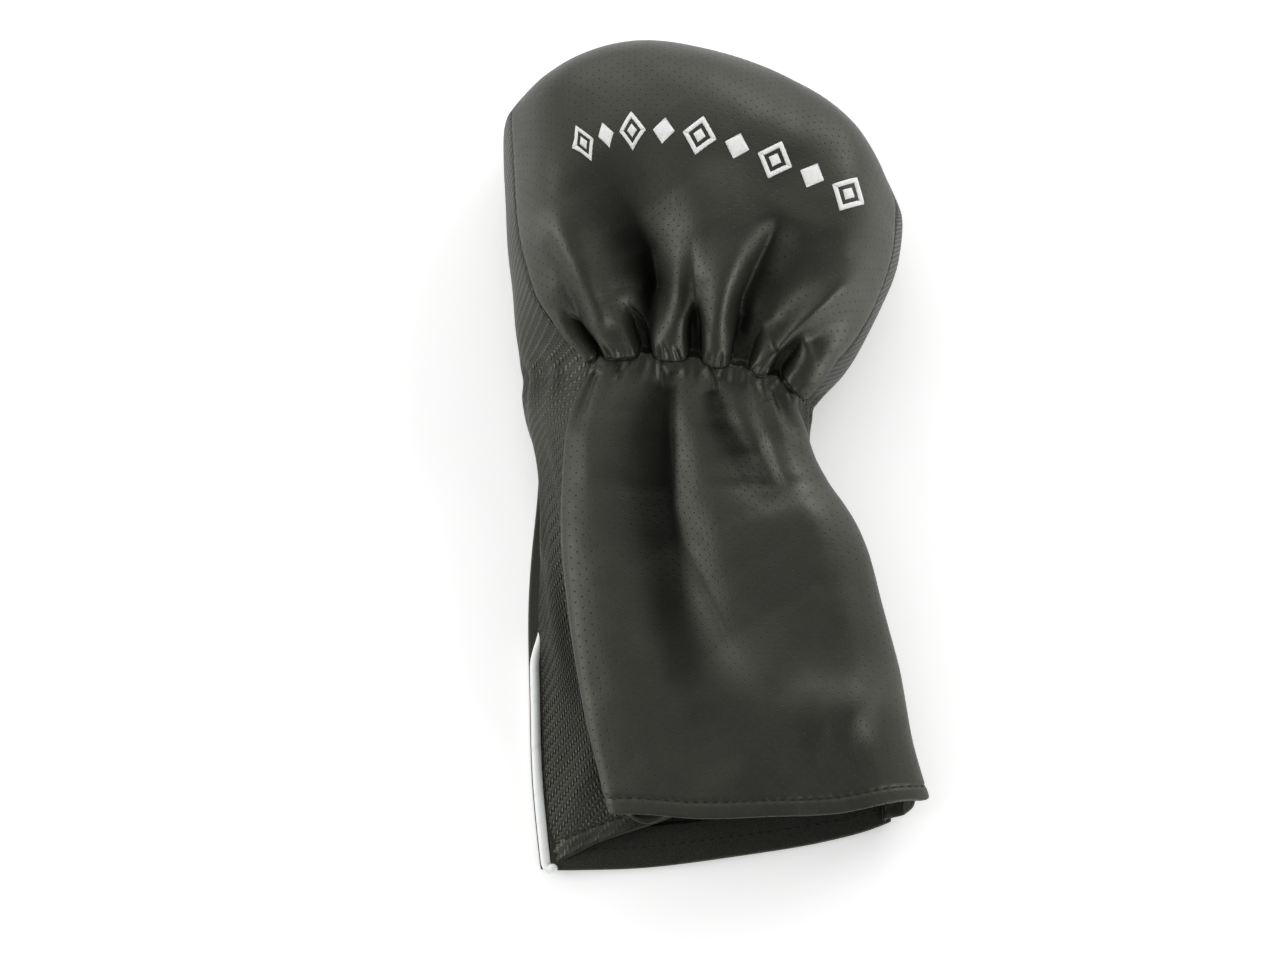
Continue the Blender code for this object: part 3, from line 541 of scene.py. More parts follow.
def perforated_leather():
    nodes = Material("perforated_leather")
    x, y = nodes.pattern()
    cosine, sine = math.cos(HOLE_TURN), math.sin(HOLE_TURN)
    column = (x * cosine + y * sine) / HOLE_PITCH
    row = (y * cosine - x * sine) / HOLE_PITCH
    off_x = nodes.math("FRACT", column) - 0.5
    off_y = nodes.math("FRACT", row) - 0.5
    distance = nodes.math("SQRT", off_x * off_x + off_y * off_y) * HOLE_PITCH
    hole = nodes.ramp(distance, low=0.17, high=0.31, to_low=1.0, to_high=0.0)
    rim = nodes.ramp(distance, low=0.30, high=0.62, to_low=1.0, to_high=0.0)
    point = nodes.vector(x, y)
    colour = nodes.mix(hole, worn_black(nodes, point), grey(0.002))
    patches = nodes.noise(point, scale=0.12, detail=3.0, rough=0.6)
    rough = 0.37 + patches * 0.18 + hole * 0.4
    uneven = nodes.noise(point, scale=0.25, detail=3.0, rough=0.55)
    height = grain(nodes, x, y) + hole * -0.15 + rim * -0.03 + uneven * 0.10
    nodes.bump(height, strength=0.85)
    # Painted shade: the fold attribute darkens the colour towards near black and dulls the specular
    # in the folds. Below 0 it raises the specular instead, as a painted highlight.
    node = nodes.add("ShaderNodeAttribute", attribute_name="painted_fold_shade_and_highlight")
    fold_amount = Output(nodes, node.outputs["Fac"])
    specular_with_painted_light = (1.0 - fold_amount * 0.90) * 0.55
    painted_shade = nodes.math("MAXIMUM", fold_amount, 0.0) * 0.88
    # the near-black colour of the painted shade in the folds
    colour = nodes.mix(painted_shade, colour, (0.0016, 0.0017, 0.0014, 1.0))
    return nodes.finish(colour, rough, Specular_IOR_Level=specular_with_painted_light, Specular_Tint=OLIVE)


def plain_leather():
    nodes = Material("plain_leather")
    x, y = nodes.pattern()
    point = nodes.vector(x, y)
    rough = 0.36 + nodes.noise(point, scale=0.12, detail=3.0, rough=0.6) * 0.16
    uneven = nodes.noise(point, scale=0.2, detail=3.0, rough=0.55)
    nodes.bump(grain(nodes, x, y, size=1.2) + uneven * 0.12, strength=0.9)
    return nodes.finish(worn_black(nodes, point), rough, Specular_IOR_Level=0.5,
                        Specular_Tint=OLIVE)


def carbon_leather():
    """Twill-weave embossing: floats two cells long, stepping one cell at each row."""
    nodes = Material("carbon_embossed_leather")
    x, y = nodes.pattern()
    column = (x * 0.985 + y * 0.17) / WEAVE_CELL
    row = (y * 0.985 - x * 0.17) / WEAVE_CELL
    whole = nodes.math("FLOOR", column) + nodes.math("FLOOR", row)
    in_column, in_row = nodes.math("FRACT", column), nodes.math("FRACT", row)
    step = (whole + 4000.0) % 4.0          # the offset keeps it above 0
    warp = nodes.math("LESS_THAN", step, 1.5)
    first = nodes.math("LESS_THAN", step % 2.0, 0.5)

    def float_height(across, along):
        """A rounded roof across the float that dips where it passes under the next."""
        roof = 1.0 - abs(across * 2.0 - 1.0) ** 2.6
        dip = nodes.math("SINE", (along + (1.0 - first)) * 0.5 * math.pi)
        return roof * nodes.math("MAXIMUM", dip, 0.02) ** 0.45

    height = (warp * float_height(in_column, in_row)
              + (1.0 - warp) * (float_height(in_row, in_column) * 0.26))
    hem = nodes.math("MINIMUM", y, 3 * LENGTH - y)
    height = height * nodes.ramp(hem, low=HEM_WEAVE_EDGE, high=HEM_WEAVE_EDGE + 0.7,
                                 to_low=0.12, to_high=1.0)
    # Three fine strands along each float
    strands = (warp * nodes.math("SINE", column * (TURN * 3))
               + (1.0 - warp) * nodes.math("SINE", row * (TURN * 3)))
    point = nodes.vector(x, y)
    wear = nodes.noise(point, scale=0.05, detail=4.0, rough=0.6)
    raised = nodes.mix(nodes.ramp(wear, low=0.45, high=0.75),
                       (0.016, 0.0165, 0.014, 1.0), (0.022, 0.0225, 0.019, 1.0))
    colour = nodes.mix(nodes.ramp(height, low=0.2, high=0.9), (0.008, 0.0082, 0.007, 1.0), raised)
    patches = nodes.noise(point, scale=0.15, detail=3.0, rough=0.6)
    rough = 0.26 + patches * 0.12 + (1.0 - warp) * 0.22
    # The weave is shallower near the neck.
    from_neck = abs(hem - NECK * LENGTH)
    height = height * nodes.ramp(from_neck, low=18.0, high=62.0, to_low=0.42, to_high=1.0)
    fine = nodes.noise(point, scale=1.8, detail=2.0)
    nodes.bump(height * 0.62 + strands * 0.012 + fine * 0.02, strength=0.9)
    return nodes.finish(colour, rough, Specular_IOR_Level=0.55, Specular_Tint=OLIVE)


def white_piping():
    nodes = Material("white_piping")
    point = nodes.vector(*nodes.pattern())
    stains = nodes.noise(point, scale=0.16, detail=4.0, rough=0.65)
    colour = nodes.mix(nodes.ramp(stains, low=0.52, high=0.80),
                       (0.83, 0.83, 0.81, 1.0), (0.60, 0.58, 0.53, 1.0))
    rough = 0.36 + nodes.noise(point, scale=0.5, detail=2.0) * 0.18
    fine = nodes.noise(point, scale=1.3, detail=3.0, rough=0.6)
    nodes.bump(fine * 0.05 + nodes.noise(point, scale=0.22, detail=2.0) * 0.25, strength=0.7)
    return nodes.finish(colour, rough, Specular_IOR_Level=0.5, Subsurface_Weight=0.05)


def brushed_lining():
    nodes = Material("brushed_lining")
    point = nodes.position()
    pile = nodes.noise(point, scale=1.1, detail=5.0, rough=0.75, distortion=0.6)
    clumps = nodes.noise(point, scale=0.22, detail=3.0, rough=0.6)
    lint = nodes.ramp(nodes.noise(point, scale=0.85), low=0.60, high=0.72)
    tips = nodes.mix(lint, (0.015, 0.0165, 0.0115, 1.0), (0.040, 0.043, 0.033, 1.0))
    colour = nodes.mix(nodes.ramp(pile, low=0.35, high=0.7), (0.004, 0.0042, 0.0035, 1.0), tips)
    nodes.bump(pile * 1.5 + clumps * 1.6, strength=1.0)
    return nodes.finish(colour, roughness=0.95, Specular_IOR_Level=0.15, Sheen_Weight=0.22,
                        Sheen_Roughness=0.6, Sheen_Tint=OLIVE)


def padding_foam():
    nodes = Material("padding_foam")
    cells = nodes.voronoi(nodes.position(), scale=1.1)
    colour = nodes.mix(nodes.ramp(cells, low=0.1, high=0.6), grey(0.03), (0.11, 0.11, 0.108, 1.0))
    nodes.bump(cells * 0.5, strength=0.9)
    return nodes.finish(colour, roughness=0.96, Specular_IOR_Level=0.2)


def elastic_webbing():
    """Ribs 1.1 mm apart along the gather line, crossed by a 0.8 mm weave."""
    nodes = Material("elastic_webbing")
    x, y, z = nodes.separate(nodes.position())
    ribs = nodes.math("SINE", (x * 0.138 + y * 0.990) * (TURN / 1.1))
    picks = nodes.math("SINE", (x + z) * (TURN / 0.8))
    weave = ribs * 0.6 + picks * 0.25
    colour = nodes.mix(nodes.ramp(weave, low=-0.6, high=0.7), grey(0.010), grey(0.034))
    nodes.bump(weave * 0.16, strength=0.9)
    return nodes.finish(colour, roughness=0.85, Specular_IOR_Level=0.25)


def black_thread():
    """Twisted thread, one turn of a ply every 0.7 mm."""
    nodes = Material("black_thread")
    x, y = nodes.pattern()
    twist = nodes.math("SINE", x * (TURN / 0.7) + y * 2.6)
    colour = nodes.mix(nodes.ramp(twist, low=-0.8, high=0.8), grey(0.003),
                       (0.012, 0.012, 0.011, 1.0))
    fuzz = nodes.noise(nodes.vector(x, y), scale=3.0, detail=2.0)
    nodes.bump(twist * 0.05 + fuzz * 0.03, strength=0.9)
    return nodes.finish(colour, roughness=0.62, Specular_IOR_Level=0.3)


def white_embroidery():
    """Satin stitch: close parallel threads, 0.42 mm apart, across each shape."""
    nodes = Material("white_embroidery")
    x, y = nodes.pattern()
    waver = nodes.noise(nodes.vector(x * 0.3, y), scale=0.8, detail=2.0)
    thread = nodes.math("SINE", (x + waver * 0.35) * (TURN / 0.42))
    shade = nodes.noise(nodes.vector(x * 2.4, y * 0.12), scale=1.0, detail=3.0, rough=0.6)
    top = nodes.mix(nodes.ramp(shade, low=0.3, high=0.7),
                    (0.90, 0.90, 0.895, 1.0), (0.97, 0.97, 0.965, 1.0))
    colour = nodes.mix(nodes.ramp(thread, low=-0.9, high=0.4), (0.66, 0.655, 0.645, 1.0), top)
    nodes.bump(thread * 0.05 + shade * 0.08, strength=0.9)
    return nodes.finish(colour, roughness=0.42, Specular_IOR_Level=0.5, Sheen_Weight=0.2,
                        Sheen_Roughness=0.4)


MATERIALS = {
    "perforated_leather": perforated_leather(),
    "plain_leather": plain_leather(),
    "carbon_embossed_leather": carbon_leather(),
    "white_piping": white_piping(),
    "brushed_lining": brushed_lining(),
    "padding_foam": padding_foam(),
    "elastic_webbing": elastic_webbing(),
    "black_thread": black_thread(),
    "white_embroidery": white_embroidery(),
}


def add_piece(name, slot, nodes, points, faces, uv, shade=None):
    """A smooth-shaded quad mesh that stands for the named nodes, which it hides.

    uv is one pair of millimetres for each point; shade is the painted fold shade and highlight for
    the first points.
    """
    mesh = bpy.data.meshes.new(name)
    points = to_frame(points)
    faces = np.asarray(faces, np.int32)
    mesh.vertices.add(len(points))
    mesh.vertices.foreach_set("co", points.astype(np.float32).ravel())
    mesh.loops.add(faces.size)
    mesh.loops.foreach_set("vertex_index", faces.ravel())
    mesh.polygons.add(len(faces))
    mesh.polygons.foreach_set("loop_start", np.arange(0, faces.size, 4, dtype=np.int32))
    mesh.update(calc_edges=True)
    mesh.validate()
    layer = mesh.uv_layers.new(name="UVMap")
    loops = np.empty(len(mesh.loops), np.int32)
    mesh.loops.foreach_get("vertex_index", loops)
    layer.data.foreach_set("uv", (uv[loops] * MM).astype(np.float32).ravel())
    mesh.shade_smooth()
    piece = bpy.data.objects.new(name, mesh)
    bpy.context.scene.collection.objects.link(piece)
    mesh.materials.append(MATERIALS[slot])
    # the painted fold shade and highlight, as a point attribute for the material
    if shade is not None:
        values = np.zeros(len(points), np.float32)
        values[:len(shade)] = shade
        mesh.attributes.new("painted_fold_shade_and_highlight", "FLOAT", "POINT").data.foreach_set("value", values)
    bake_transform(piece)
    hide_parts(*nodes)


def grid_faces(rows, cols, offset=0, flip=False):
    i, j = np.meshgrid(np.arange(rows - 1), np.arange(cols - 1), indexing="ij")
    first = (i * cols + j).ravel() + offset
    faces = np.stack([first, first + cols, first + cols + 1, first + 1], axis=1)
    return faces[:, ::-1] if flip else faces


def ring_faces(ring, following):
    """Quads between two closed rings of point numbers."""
    return np.stack([ring, np.roll(ring, -1), np.roll(following, -1), following], axis=1)


def border(rows, cols):
    """Grid indices round the edge, in order."""
    top = [(0, j) for j in range(cols)]
    right = [(i, cols - 1) for i in range(1, rows)]
    bottom = [(rows - 1, j) for j in range(cols - 2, -1, -1)]
    left = [(i, 0) for i in range(rows - 2, 0, -1)]
    return np.array(top + right + bottom + left).T


def closed_sheet(name, slot, nodes, outer, normals, uv, thickness, steps=4, shade=None):
    """A sheet of material inward from its outer points, with a rounded edge all round."""
    rows, cols = outer.shape[:2]
    radius = thickness / 2
    i, j = border(rows, cols)
    out_i = np.where(i == 0, -1, np.where(i == rows - 1, 1, 0))
    out_j = np.where(j == 0, -1, np.where(j == cols - 1, 1, 0))
    by_row, by_col = unit(np.gradient(outer, axis=0)), unit(np.gradient(outer, axis=1))
    rim, rim_normal = outer[i, j], normals[i, j]
    out = by_row[i, j] * out_i[:, None] + by_col[i, j] * out_j[:, None]
    out -= rim_normal * (out * rim_normal).sum(1, keepdims=True)
    out = unit(out)
    points = [outer.reshape(-1, 3), (outer - normals * thickness).reshape(-1, 3)]
    uvs = [uv.reshape(-1, 2), uv.reshape(-1, 2)]
    rings = [i * cols + j]
    base = 2 * rows * cols
    for k in range(1, steps):
        angle = math.pi * k / steps
        points.append(rim + out * radius * math.sin(angle)
                      - rim_normal * radius * (1 - math.cos(angle)))
        uvs.append(uv[i, j])
        rings.append(base + np.arange(len(i)))
        base += len(i)
    rings.append(rings[0] + rows * cols)
    flip = float((np.cross(by_row, by_col) * normals).sum()) < 0
    faces = [grid_faces(rows, cols, 0, flip), grid_faces(rows, cols, rows * cols, not flip)]
    for ring, following in zip(rings, rings[1:]):
        quads = ring_faces(ring, following)
        faces.append(quads[:, ::-1] if flip else quads)
    if shade is not None:
        shade = np.tile(shade.ravel(), 2)
    add_piece(name, slot, nodes, np.concatenate(points), np.concatenate(faces),
              np.concatenate(uvs), shade)


def cord(name, slot, nodes, path, radius, sides=18, dome=3):
    """A round cord along a path, closed by a dome of a few rings at each end."""
    tangent = unit(np.gradient(path, axis=0))
    side = unit(np.cross(tangent, (0.0, 0.0, 1.0)))
    up = np.cross(side, tangent)
    length = np.concatenate([[0], np.cumsum(np.linalg.norm(np.diff(path, axis=0), axis=1))])

    def ring(at, angle, forward):
        """Centre, two axes, radius and length of the ring at this angle up an end's dome."""
        centre = path[at] + forward * tangent[at] * radius[at] * math.sin(angle)
        return centre, side[at], up[at], radius[at] * math.cos(angle), length[at]

    angles = [0.5 * math.pi * k / (dome + 0.3) for k in range(1, dome + 1)]
    rings = [ring(0, angle, -1) for angle in reversed(angles)]
    rings += [ring(k, 0.0, 1) for k in range(len(path))]
    rings += [ring(-1, angle, 1) for angle in angles]
    turn = np.linspace(0, TURN, sides, endpoint=False)
    points, uvs = [], []
    for centre, right, top, reach, place in rings:
        points.append(centre + np.outer(np.cos(turn), right) * reach
                      + np.outer(np.sin(turn), top) * reach)
        uvs.append(np.stack([np.full(sides, place), turn * radius.mean()], axis=1))
    loop = np.arange(sides)
    faces = [ring_faces(loop + i * sides, loop + (i + 1) * sides) for i in range(len(rings) - 1)]
    # A point just beyond each end ring closes it, two sides to a quad.
    points += [[rings[0][0] - tangent[0] * 0.02], [rings[-1][0] + tangent[-1] * 0.02]]
    uvs += [uvs[0][:1], uvs[-1][-1:]]
    tip, last = len(rings) * sides, (len(rings) - 1) * sides
    even = np.arange(0, sides, 2)
    after = (even + 2) % sides
    faces.append(np.stack([np.full(len(even), tip), after, even + 1, even], axis=1))
    faces.append(np.stack([np.full(len(even), tip + 1), even + last, even + 1 + last,
                           after + last], axis=1))
    add_piece(name, slot, nodes, np.concatenate(points), np.concatenate(faces),
              np.concatenate(uvs))


# ---------------------------------------------------------------- folds of the front panel
# Lobes of gathered material above the elastic: ends as shares of the gather line, height
LOBES = [(-0.06, 0.075, 3.4), (0.095, 0.258, 3.8), (0.303, 0.468, 4.2), (0.522, 0.650, 4.0),
         (0.728, 0.820, 3.2), (0.866, 1.07, 4.0)]
GAP_HEIGHT = 3.4

# Rolls: path of the crease, depths along it, reaches to its left, reaches to its right, fades
HEAD_ROLLS = [
    (((-58, 126), (-51, 112), (-43, 99), (-35.5, 87), (-30.2, 74), (-27.5, 58), (-27.4, 42)),
     (0, 0.7, 2.6, 5.6, 8.2, 8.8, 6.4), (20, 19, 18, 17, 14, 9, 4.4),
     (26, 26, 25, 23, 17, 9, 4), (0.3, 0)),
    (((26.5, 92), (22.5, 80), (17, 68), (11.5, 55), (8.5, 42)), (1.2, 3.2, 4.6, 5.4, 4.8),
     (3.4, 4.4, 5, 5.2, 4.6), (12, 14, 12, 8, 4.6), (0.25, 0)),
    (((-12, 84), (-10.6, 68), (-9.6, 56), (-8.4, 42)), (0.3, 1.2, 2.6, 3.2), (9, 7, 5, 3.2),
     (9, 7, 5, 3), (0.35, 0)),
    (((-75, 94), (-70, 80), (-63, 60), (-55, 47), (-48, 41)), (0.1, 0.8, 1.5, 2, 2.2),
     (8, 6.5, 4.6, 2.8), (8, 6.5, 4.5, 2.8), (0.4, 0)),
]
SLEEVE_ROLLS = [
    (((-19.5, 30), (-22, 10), (-22.4, -18), (-17.6, -42), (-6.5, -62), (4.5, -82), (17, -102)),
     (3.6, 6.6, 8.4, 8.4, 7, 4.6, 1), (7, 11, 13.5, 14, 13, 13, 15),
     (13, 20, 29, 32, 28, 22, 18), (0, 0.18)),
    (((6.5, 30), (9, 15), (15.5, 1.5), (21, -16), (21.5, -34)), (2.6, 4.4, 5.8, 4.6, 0.6),
     (6, 8.5, 10, 11, 11), (8, 11, 14, 16, 16), (0, 0.25)),
]
# How rounded the floors of the rolls are, along them
HEAD_SOFTNESS = (0.6,)
SLEEVE_SOFTNESS = (0.9, 0.9, 1.2, 3.0, 4.5)

# Folds: path, heights along it, widths along it, fades at its two ends, sharpness if not 2
HEAD_FOLDS = [
    (((-73, 106), (-68.5, 91), (-61, 77), (-54.5, 65), (-48.5, 53), (-45.5, 45)),
     (0.1, 1, 1.9, 2.3, 2, 1.2), (12, 10, 8, 6, 4.5), (0.35, 0.1)),
    (((-19, 100), (-19.5, 80), (-18.6, 60), (-17.6, 44)), (0, 0.1, 0.7, 0.8), (13, 11, 8, 6),
     (0.4, 0.1)),
    (((13, 100), (9, 80), (4.6, 63), (0.2, 50), (-2, 43)), (0.1, 0.6, 1.1, 1.2, 1),
     (13, 10, 7.5, 6, 5), (0.4, 0.1)),
    (((40, 96), (31, 76), (23, 58)), (0.1, 0.9, 0.9), (12, 9, 6.5), (0.4, 0.25)),
    (((40, 74), (29.5, 57.5), (19.5, 43)), (-0.2, -1.2, -2), (9, 7, 4.5), (0.35, 0)),
    (((64, 74), (48, 60.5), (34, 48.5), (22.5, 38.5)), (0.2, 1.6, 2.4, 2.2), (9, 6, 4.2, 3),
     (0.4, 0.05), 1.8),
    (((62, 58), (48, 46), (36, 38)), (-0.2, -1.2, -1.4), (7, 5, 3.4), (0.35, 0.1)),
    (((-8, 141), (25, 130), (50, 110)), (0.5, 1, 0.6), (13, 12, 10), (0.3, 0.3)),
    (((-20, 116), (10, 110), (40, 96)), (-0.5, -0.9, -0.5), (13, 13, 11), (0.3, 0.3)),
]
SLEEVE_FOLDS = [
    (((20, -101), (42, -109), (66, -110)), (1, 2.6, 1.8), (13, 13, 11), (0.35, 0.3)),
    (((-50.5, 31), (-55, 18), (-59.5, 4)), (-1.4, -1.6, -0.6), (2.4, 2.6, 3.4), (0.05, 0.35)),
    (((-10, -104), (-2, -124), (4, -140)), (-0.5, -0.9, -0.5), (9, 9, 9), (0.35, 0.3)),
    (((22.5, 26), (29, 14), (35.5, 2)), (-0.9, -1.2, -0.5), (2, 2.4, 3), (0.1, 0.3)),
    # short ridges and valleys where the gathers run out below the elastic
    (((-24, 35.5), (-23.6, 28), (-23.2, 21)), (1.4, 1.2, 0.3), (1.1, 1.3, 1.6), (0, 0.4)),
    (((-3.4, 33), (-2.4, 26), (-1.6, 19)), (1.5, 1.3, 0.3), (1.1, 1.4, 1.8), (0, 0.4)),
    (((-12, 35), (-11.6, 30), (-11.4, 26)), (-0.6, -0.5, -0.1), (1.3, 1.4, 1.6), (0, 0.4)),
    (((-40, 37), (-41, 30), (-42, 24)), (-0.9, -0.9, -0.3), (1.4, 1.8, 2.4), (0, 0.4)),
    (((14, 29), (17, 22), (20, 15)), (-0.6, -0.6, -0.2), (1.3, 1.6, 2), (0, 0.4)),
]
# Thin creases pressed into the lobes: place across, length they run up, depth, lean
LOBE_CREASES = [
    (0.015, 7, 1.0, -0.02), (0.148, 9, 1.2, -0.012), (0.172, 6, 0.9, 0.01),
    (0.232, 8, 1.1, 0.012), (0.352, 9, 1.3, 0.012), (0.385, 11, 1.0, 0.0),
    (0.424, 9, 1.4, -0.012), (0.556, 8, 1.1, 0.01), (0.601, 10, 1.2, 0.0),
    (0.628, 6, 0.8, 0.012), (0.752, 6, 1.0, 0.012), (0.784, 7, 1.0, 0.02),
    (0.905, 7, 0.9, 0.03), (0.955, 6, 0.8, 0.04),
]
# How much of the sleeve's folds and of the lobes the cloth starts with
SLEEVE_GAIN = LOBE_GAIN = 0.8

HEM_STITCH = 6.0          # topstitching above the hem's edge
STITCH_PITCH = 3.9
HEM_WIDTH = 131.0         # the front panel's width at the hem
PUCKER_WIDTH = 84.0       # the gathered width, as the needle puckers are spaced
LOBE_WIDTH = 92.0         # the gathered width, as the lobes and their creases are spaced


def lobe_wave(across):
    """About +1 on a lobe and -1 in the gap between two, and the height of the lobes."""
    wave = np.full(np.shape(across), -1.0)
    heights = np.full(np.shape(across), GAP_HEIGHT)
    for low, high, height in LOBES:
        share = (across - low) / (high - low)
        on = (share > 0) & (share < 1)
        rise = np.where(on, np.sin(np.pi * np.clip(share, 0, 1)) ** 0.55, 0.0)
        wave = np.maximum(wave, np.where(on, 2 * rise - 1, -1))
        heights = np.where(on, height, heights)
    return wave, heights


def puckers(run, above, amount, pitch, wander, stretch, patches, seed):
    """Uneven ripples along the gather: wander shifts them, patches are the two noise sizes."""
    phase = TURN * run / pitch + wander * value_noise(run, above * stretch, patches[0], seed)
    strength = 0.55 + 0.45 * value_noise(run, above * 0.1, patches[1], seed + 1)
    return amount * strength * np.sin(phase)


def needle_puckers(across, above, amount):
    return puckers(across * PUCKER_WIDTH, above, amount, pitch=4.1, wander=1.6, stretch=0.2,
                   patches=(7.0, 5.0), seed=SEED)


def stitch_dent(run, from_hem, hole_depth):
    """The groove under the hem's stitching, deeper by hole_depth at each needle hole."""
    holes = 0.5 + 0.5 * np.cos(TURN * run / STITCH_PITCH)
    return (0.30 + hole_depth * holes) * bell(from_hem - HEM_STITCH, 0.9)


def main_folds(x, y, head, sleeve):
    """The large folds, in millimetres; head and sleeve are how much of each."""
    relief = np.zeros(x.shape)
    for rolls, folds, softness, amount in (
            (HEAD_ROLLS, HEAD_FOLDS, HEAD_SOFTNESS, head),
            (SLEEVE_ROLLS, SLEEVE_FOLDS, SLEEVE_SOFTNESS, sleeve)):
        for row in rolls:
            relief += roll(x, y, *row, softness) * amount
        for row in folds:
            relief += fold(x, y, *row) * amount
    return relief


def coarse_relief(points, across, along):
    """How far the cloth starts above the panel's smooth shape."""
    above = above_neck(along)
    up, down = np.maximum(above, 0), np.maximum(-above, 0)
    head, sleeve = smooth(above, -3, 5), smooth(-above, -3, 5)
    relief = main_folds(points[..., 0], points[..., 1], head, SLEEVE_GAIN * sleeve)
    free = clear_of_sides(across, 0.05)
    # lobes puffed up above the gather, gaps sunk between them, and a slight swell below
    wave, height = lobe_wave(across)
    puff = hump(up, 3.4) + 0.35 * hump(up, 12.0)
    relief += LOBE_GAIN * head * free * np.where(wave > 0, wave * height * puff,
                                                 wave * (GAP_HEIGHT * decay(up, 9.0)))
    relief += (1 - smooth(above, -1, 1)) * free * 0.3 * hump(down, 6.0)
    # needle puckers, and wider ripples of about twice their pitch
    size = np.abs(above)
    relief += needle_puckers(across, above, free) * (1.0 * decay(size, 3.0)
                                                     + 0.2 * decay(size, 9.0))
    run = across * PUCKER_WIDTH
    wide = TURN * run / 9.3 + 1.1 + 1.2 * value_noise(run, above * 0.1, 9.0, SEED + 2)
    relief += free * 0.9 * np.sin(wide) * decay(np.abs(above + 3), 7.0)
    # the gather line itself is drawn in
    relief -= 0.6 * bell(above, 1.6) * (0.35 + 0.65 * free)
    return relief


def fine_relief(points, across, along):
    """What the cloth is too coarse to show."""
    x, y = points[..., 0], points[..., 1]
    above = above_neck(along)
    from_hem = along * LENGTH
    run = across * HEM_WIDTH
    free = clear_of_sides(across, 0.05)
    # needle puckers and the gather line
    relief = needle_puckers(across, above, free) * 0.3 * decay(np.abs(above), 2.6)
    relief -= 0.35 * bell(above, 1.0) * free
    # the stitched hem, rippled in its right half
    relief -= stitch_dent(run, from_hem, hole_depth=0.34)
    ripple = (value_noise(run, from_hem * 0.3, 4.0, SEED + 3)
              * smooth(across, 0.45, 0.6) * smooth(1 - across, 0.08, 0.25))
    relief += 0.22 * ripple * decay(from_hem, 9.0)
    relief += 0.10 * value_noise(run, from_hem * 0.3, 3.2, SEED + 4) * decay(from_hem, 7.0)
    # general unevenness
    relief += 0.25 * value_noise(x, y, 26.0, SEED + 5) + 0.10 * value_noise(x, y, 9.0, SEED + 6)
    # rolled edges at the side seams and the crown
    edge = np.minimum(across, 1 - across) * np.where(above > 0, 150.0, 140.0)
    relief -= 0.9 * decay(edge, 1.3) * smooth(above, -20, 10)
    relief -= 0.9 * decay((1 - along) * LENGTH, 1.5)
    return relief


# ---------------------------------------------------------------- cloth
CLOTH_UNIT = 0.01         # the cloth works at one unit to 100 mm
CLOTH_FRAMES = 36
CLOTH_COLUMNS = 105
CLOTH_STEP = 2.6          # spacing along the panel away from the gather
CLOTH_FINE = 15.0         # half the length of the finer band at the gather
CLOTH_FINE_ROWS = 25
# How much wider the panel is cut than the shape it is drawn into: lengths from the gather, extras
EXTRA_HEAD = ((0, 4, 10, 20, 35, 55, 80, 110), (10, 24, 22, 15, 9, 5, 2, 0))
EXTRA_SLEEVE = ((0, 5, 12, 25, 60, 100, 150), (3, 2, 1.5, 1.2, 1.0, 0.8, 0))
CLOTH_SETTINGS = dict(
    quality=8, mass=0.3, tension_stiffness=20.0, compression_stiffness=20.0,
    shear_stiffness=8.0, bending_model="ANGULAR", bending_stiffness=30.0,
    tension_damping=8.0, compression_damping=8.0, shear_damping=8.0,
    bending_damping=0.8, air_damping=4.0, use_pressure=True, uniform_pressure_force=1.2,
)


def cloth_rest(base, above):
    """The panel's shape as cut: wider than it is drawn, and longer just above the gather."""
    arc = np.linalg.norm(np.diff(base, axis=0), axis=-1).sum(0)
    wide = arc + np.where(above >= 0, np.interp(np.maximum(above, 0), *EXTRA_HEAD),
                          np.interp(np.maximum(-above, 0), *EXTRA_SLEEVE))
    middle = base[CLOTH_COLUMNS // 2][None]
    rest = base.copy()
    rest[..., :2] = middle[..., :2] + (base[..., :2] - middle[..., :2]) * (wide / arc)[None, :, None]
    rest[..., 1] += (0.3 * np.clip(above, 0, 14) - 0.10 * np.clip(-above, 0, 10))[None]
    return rest


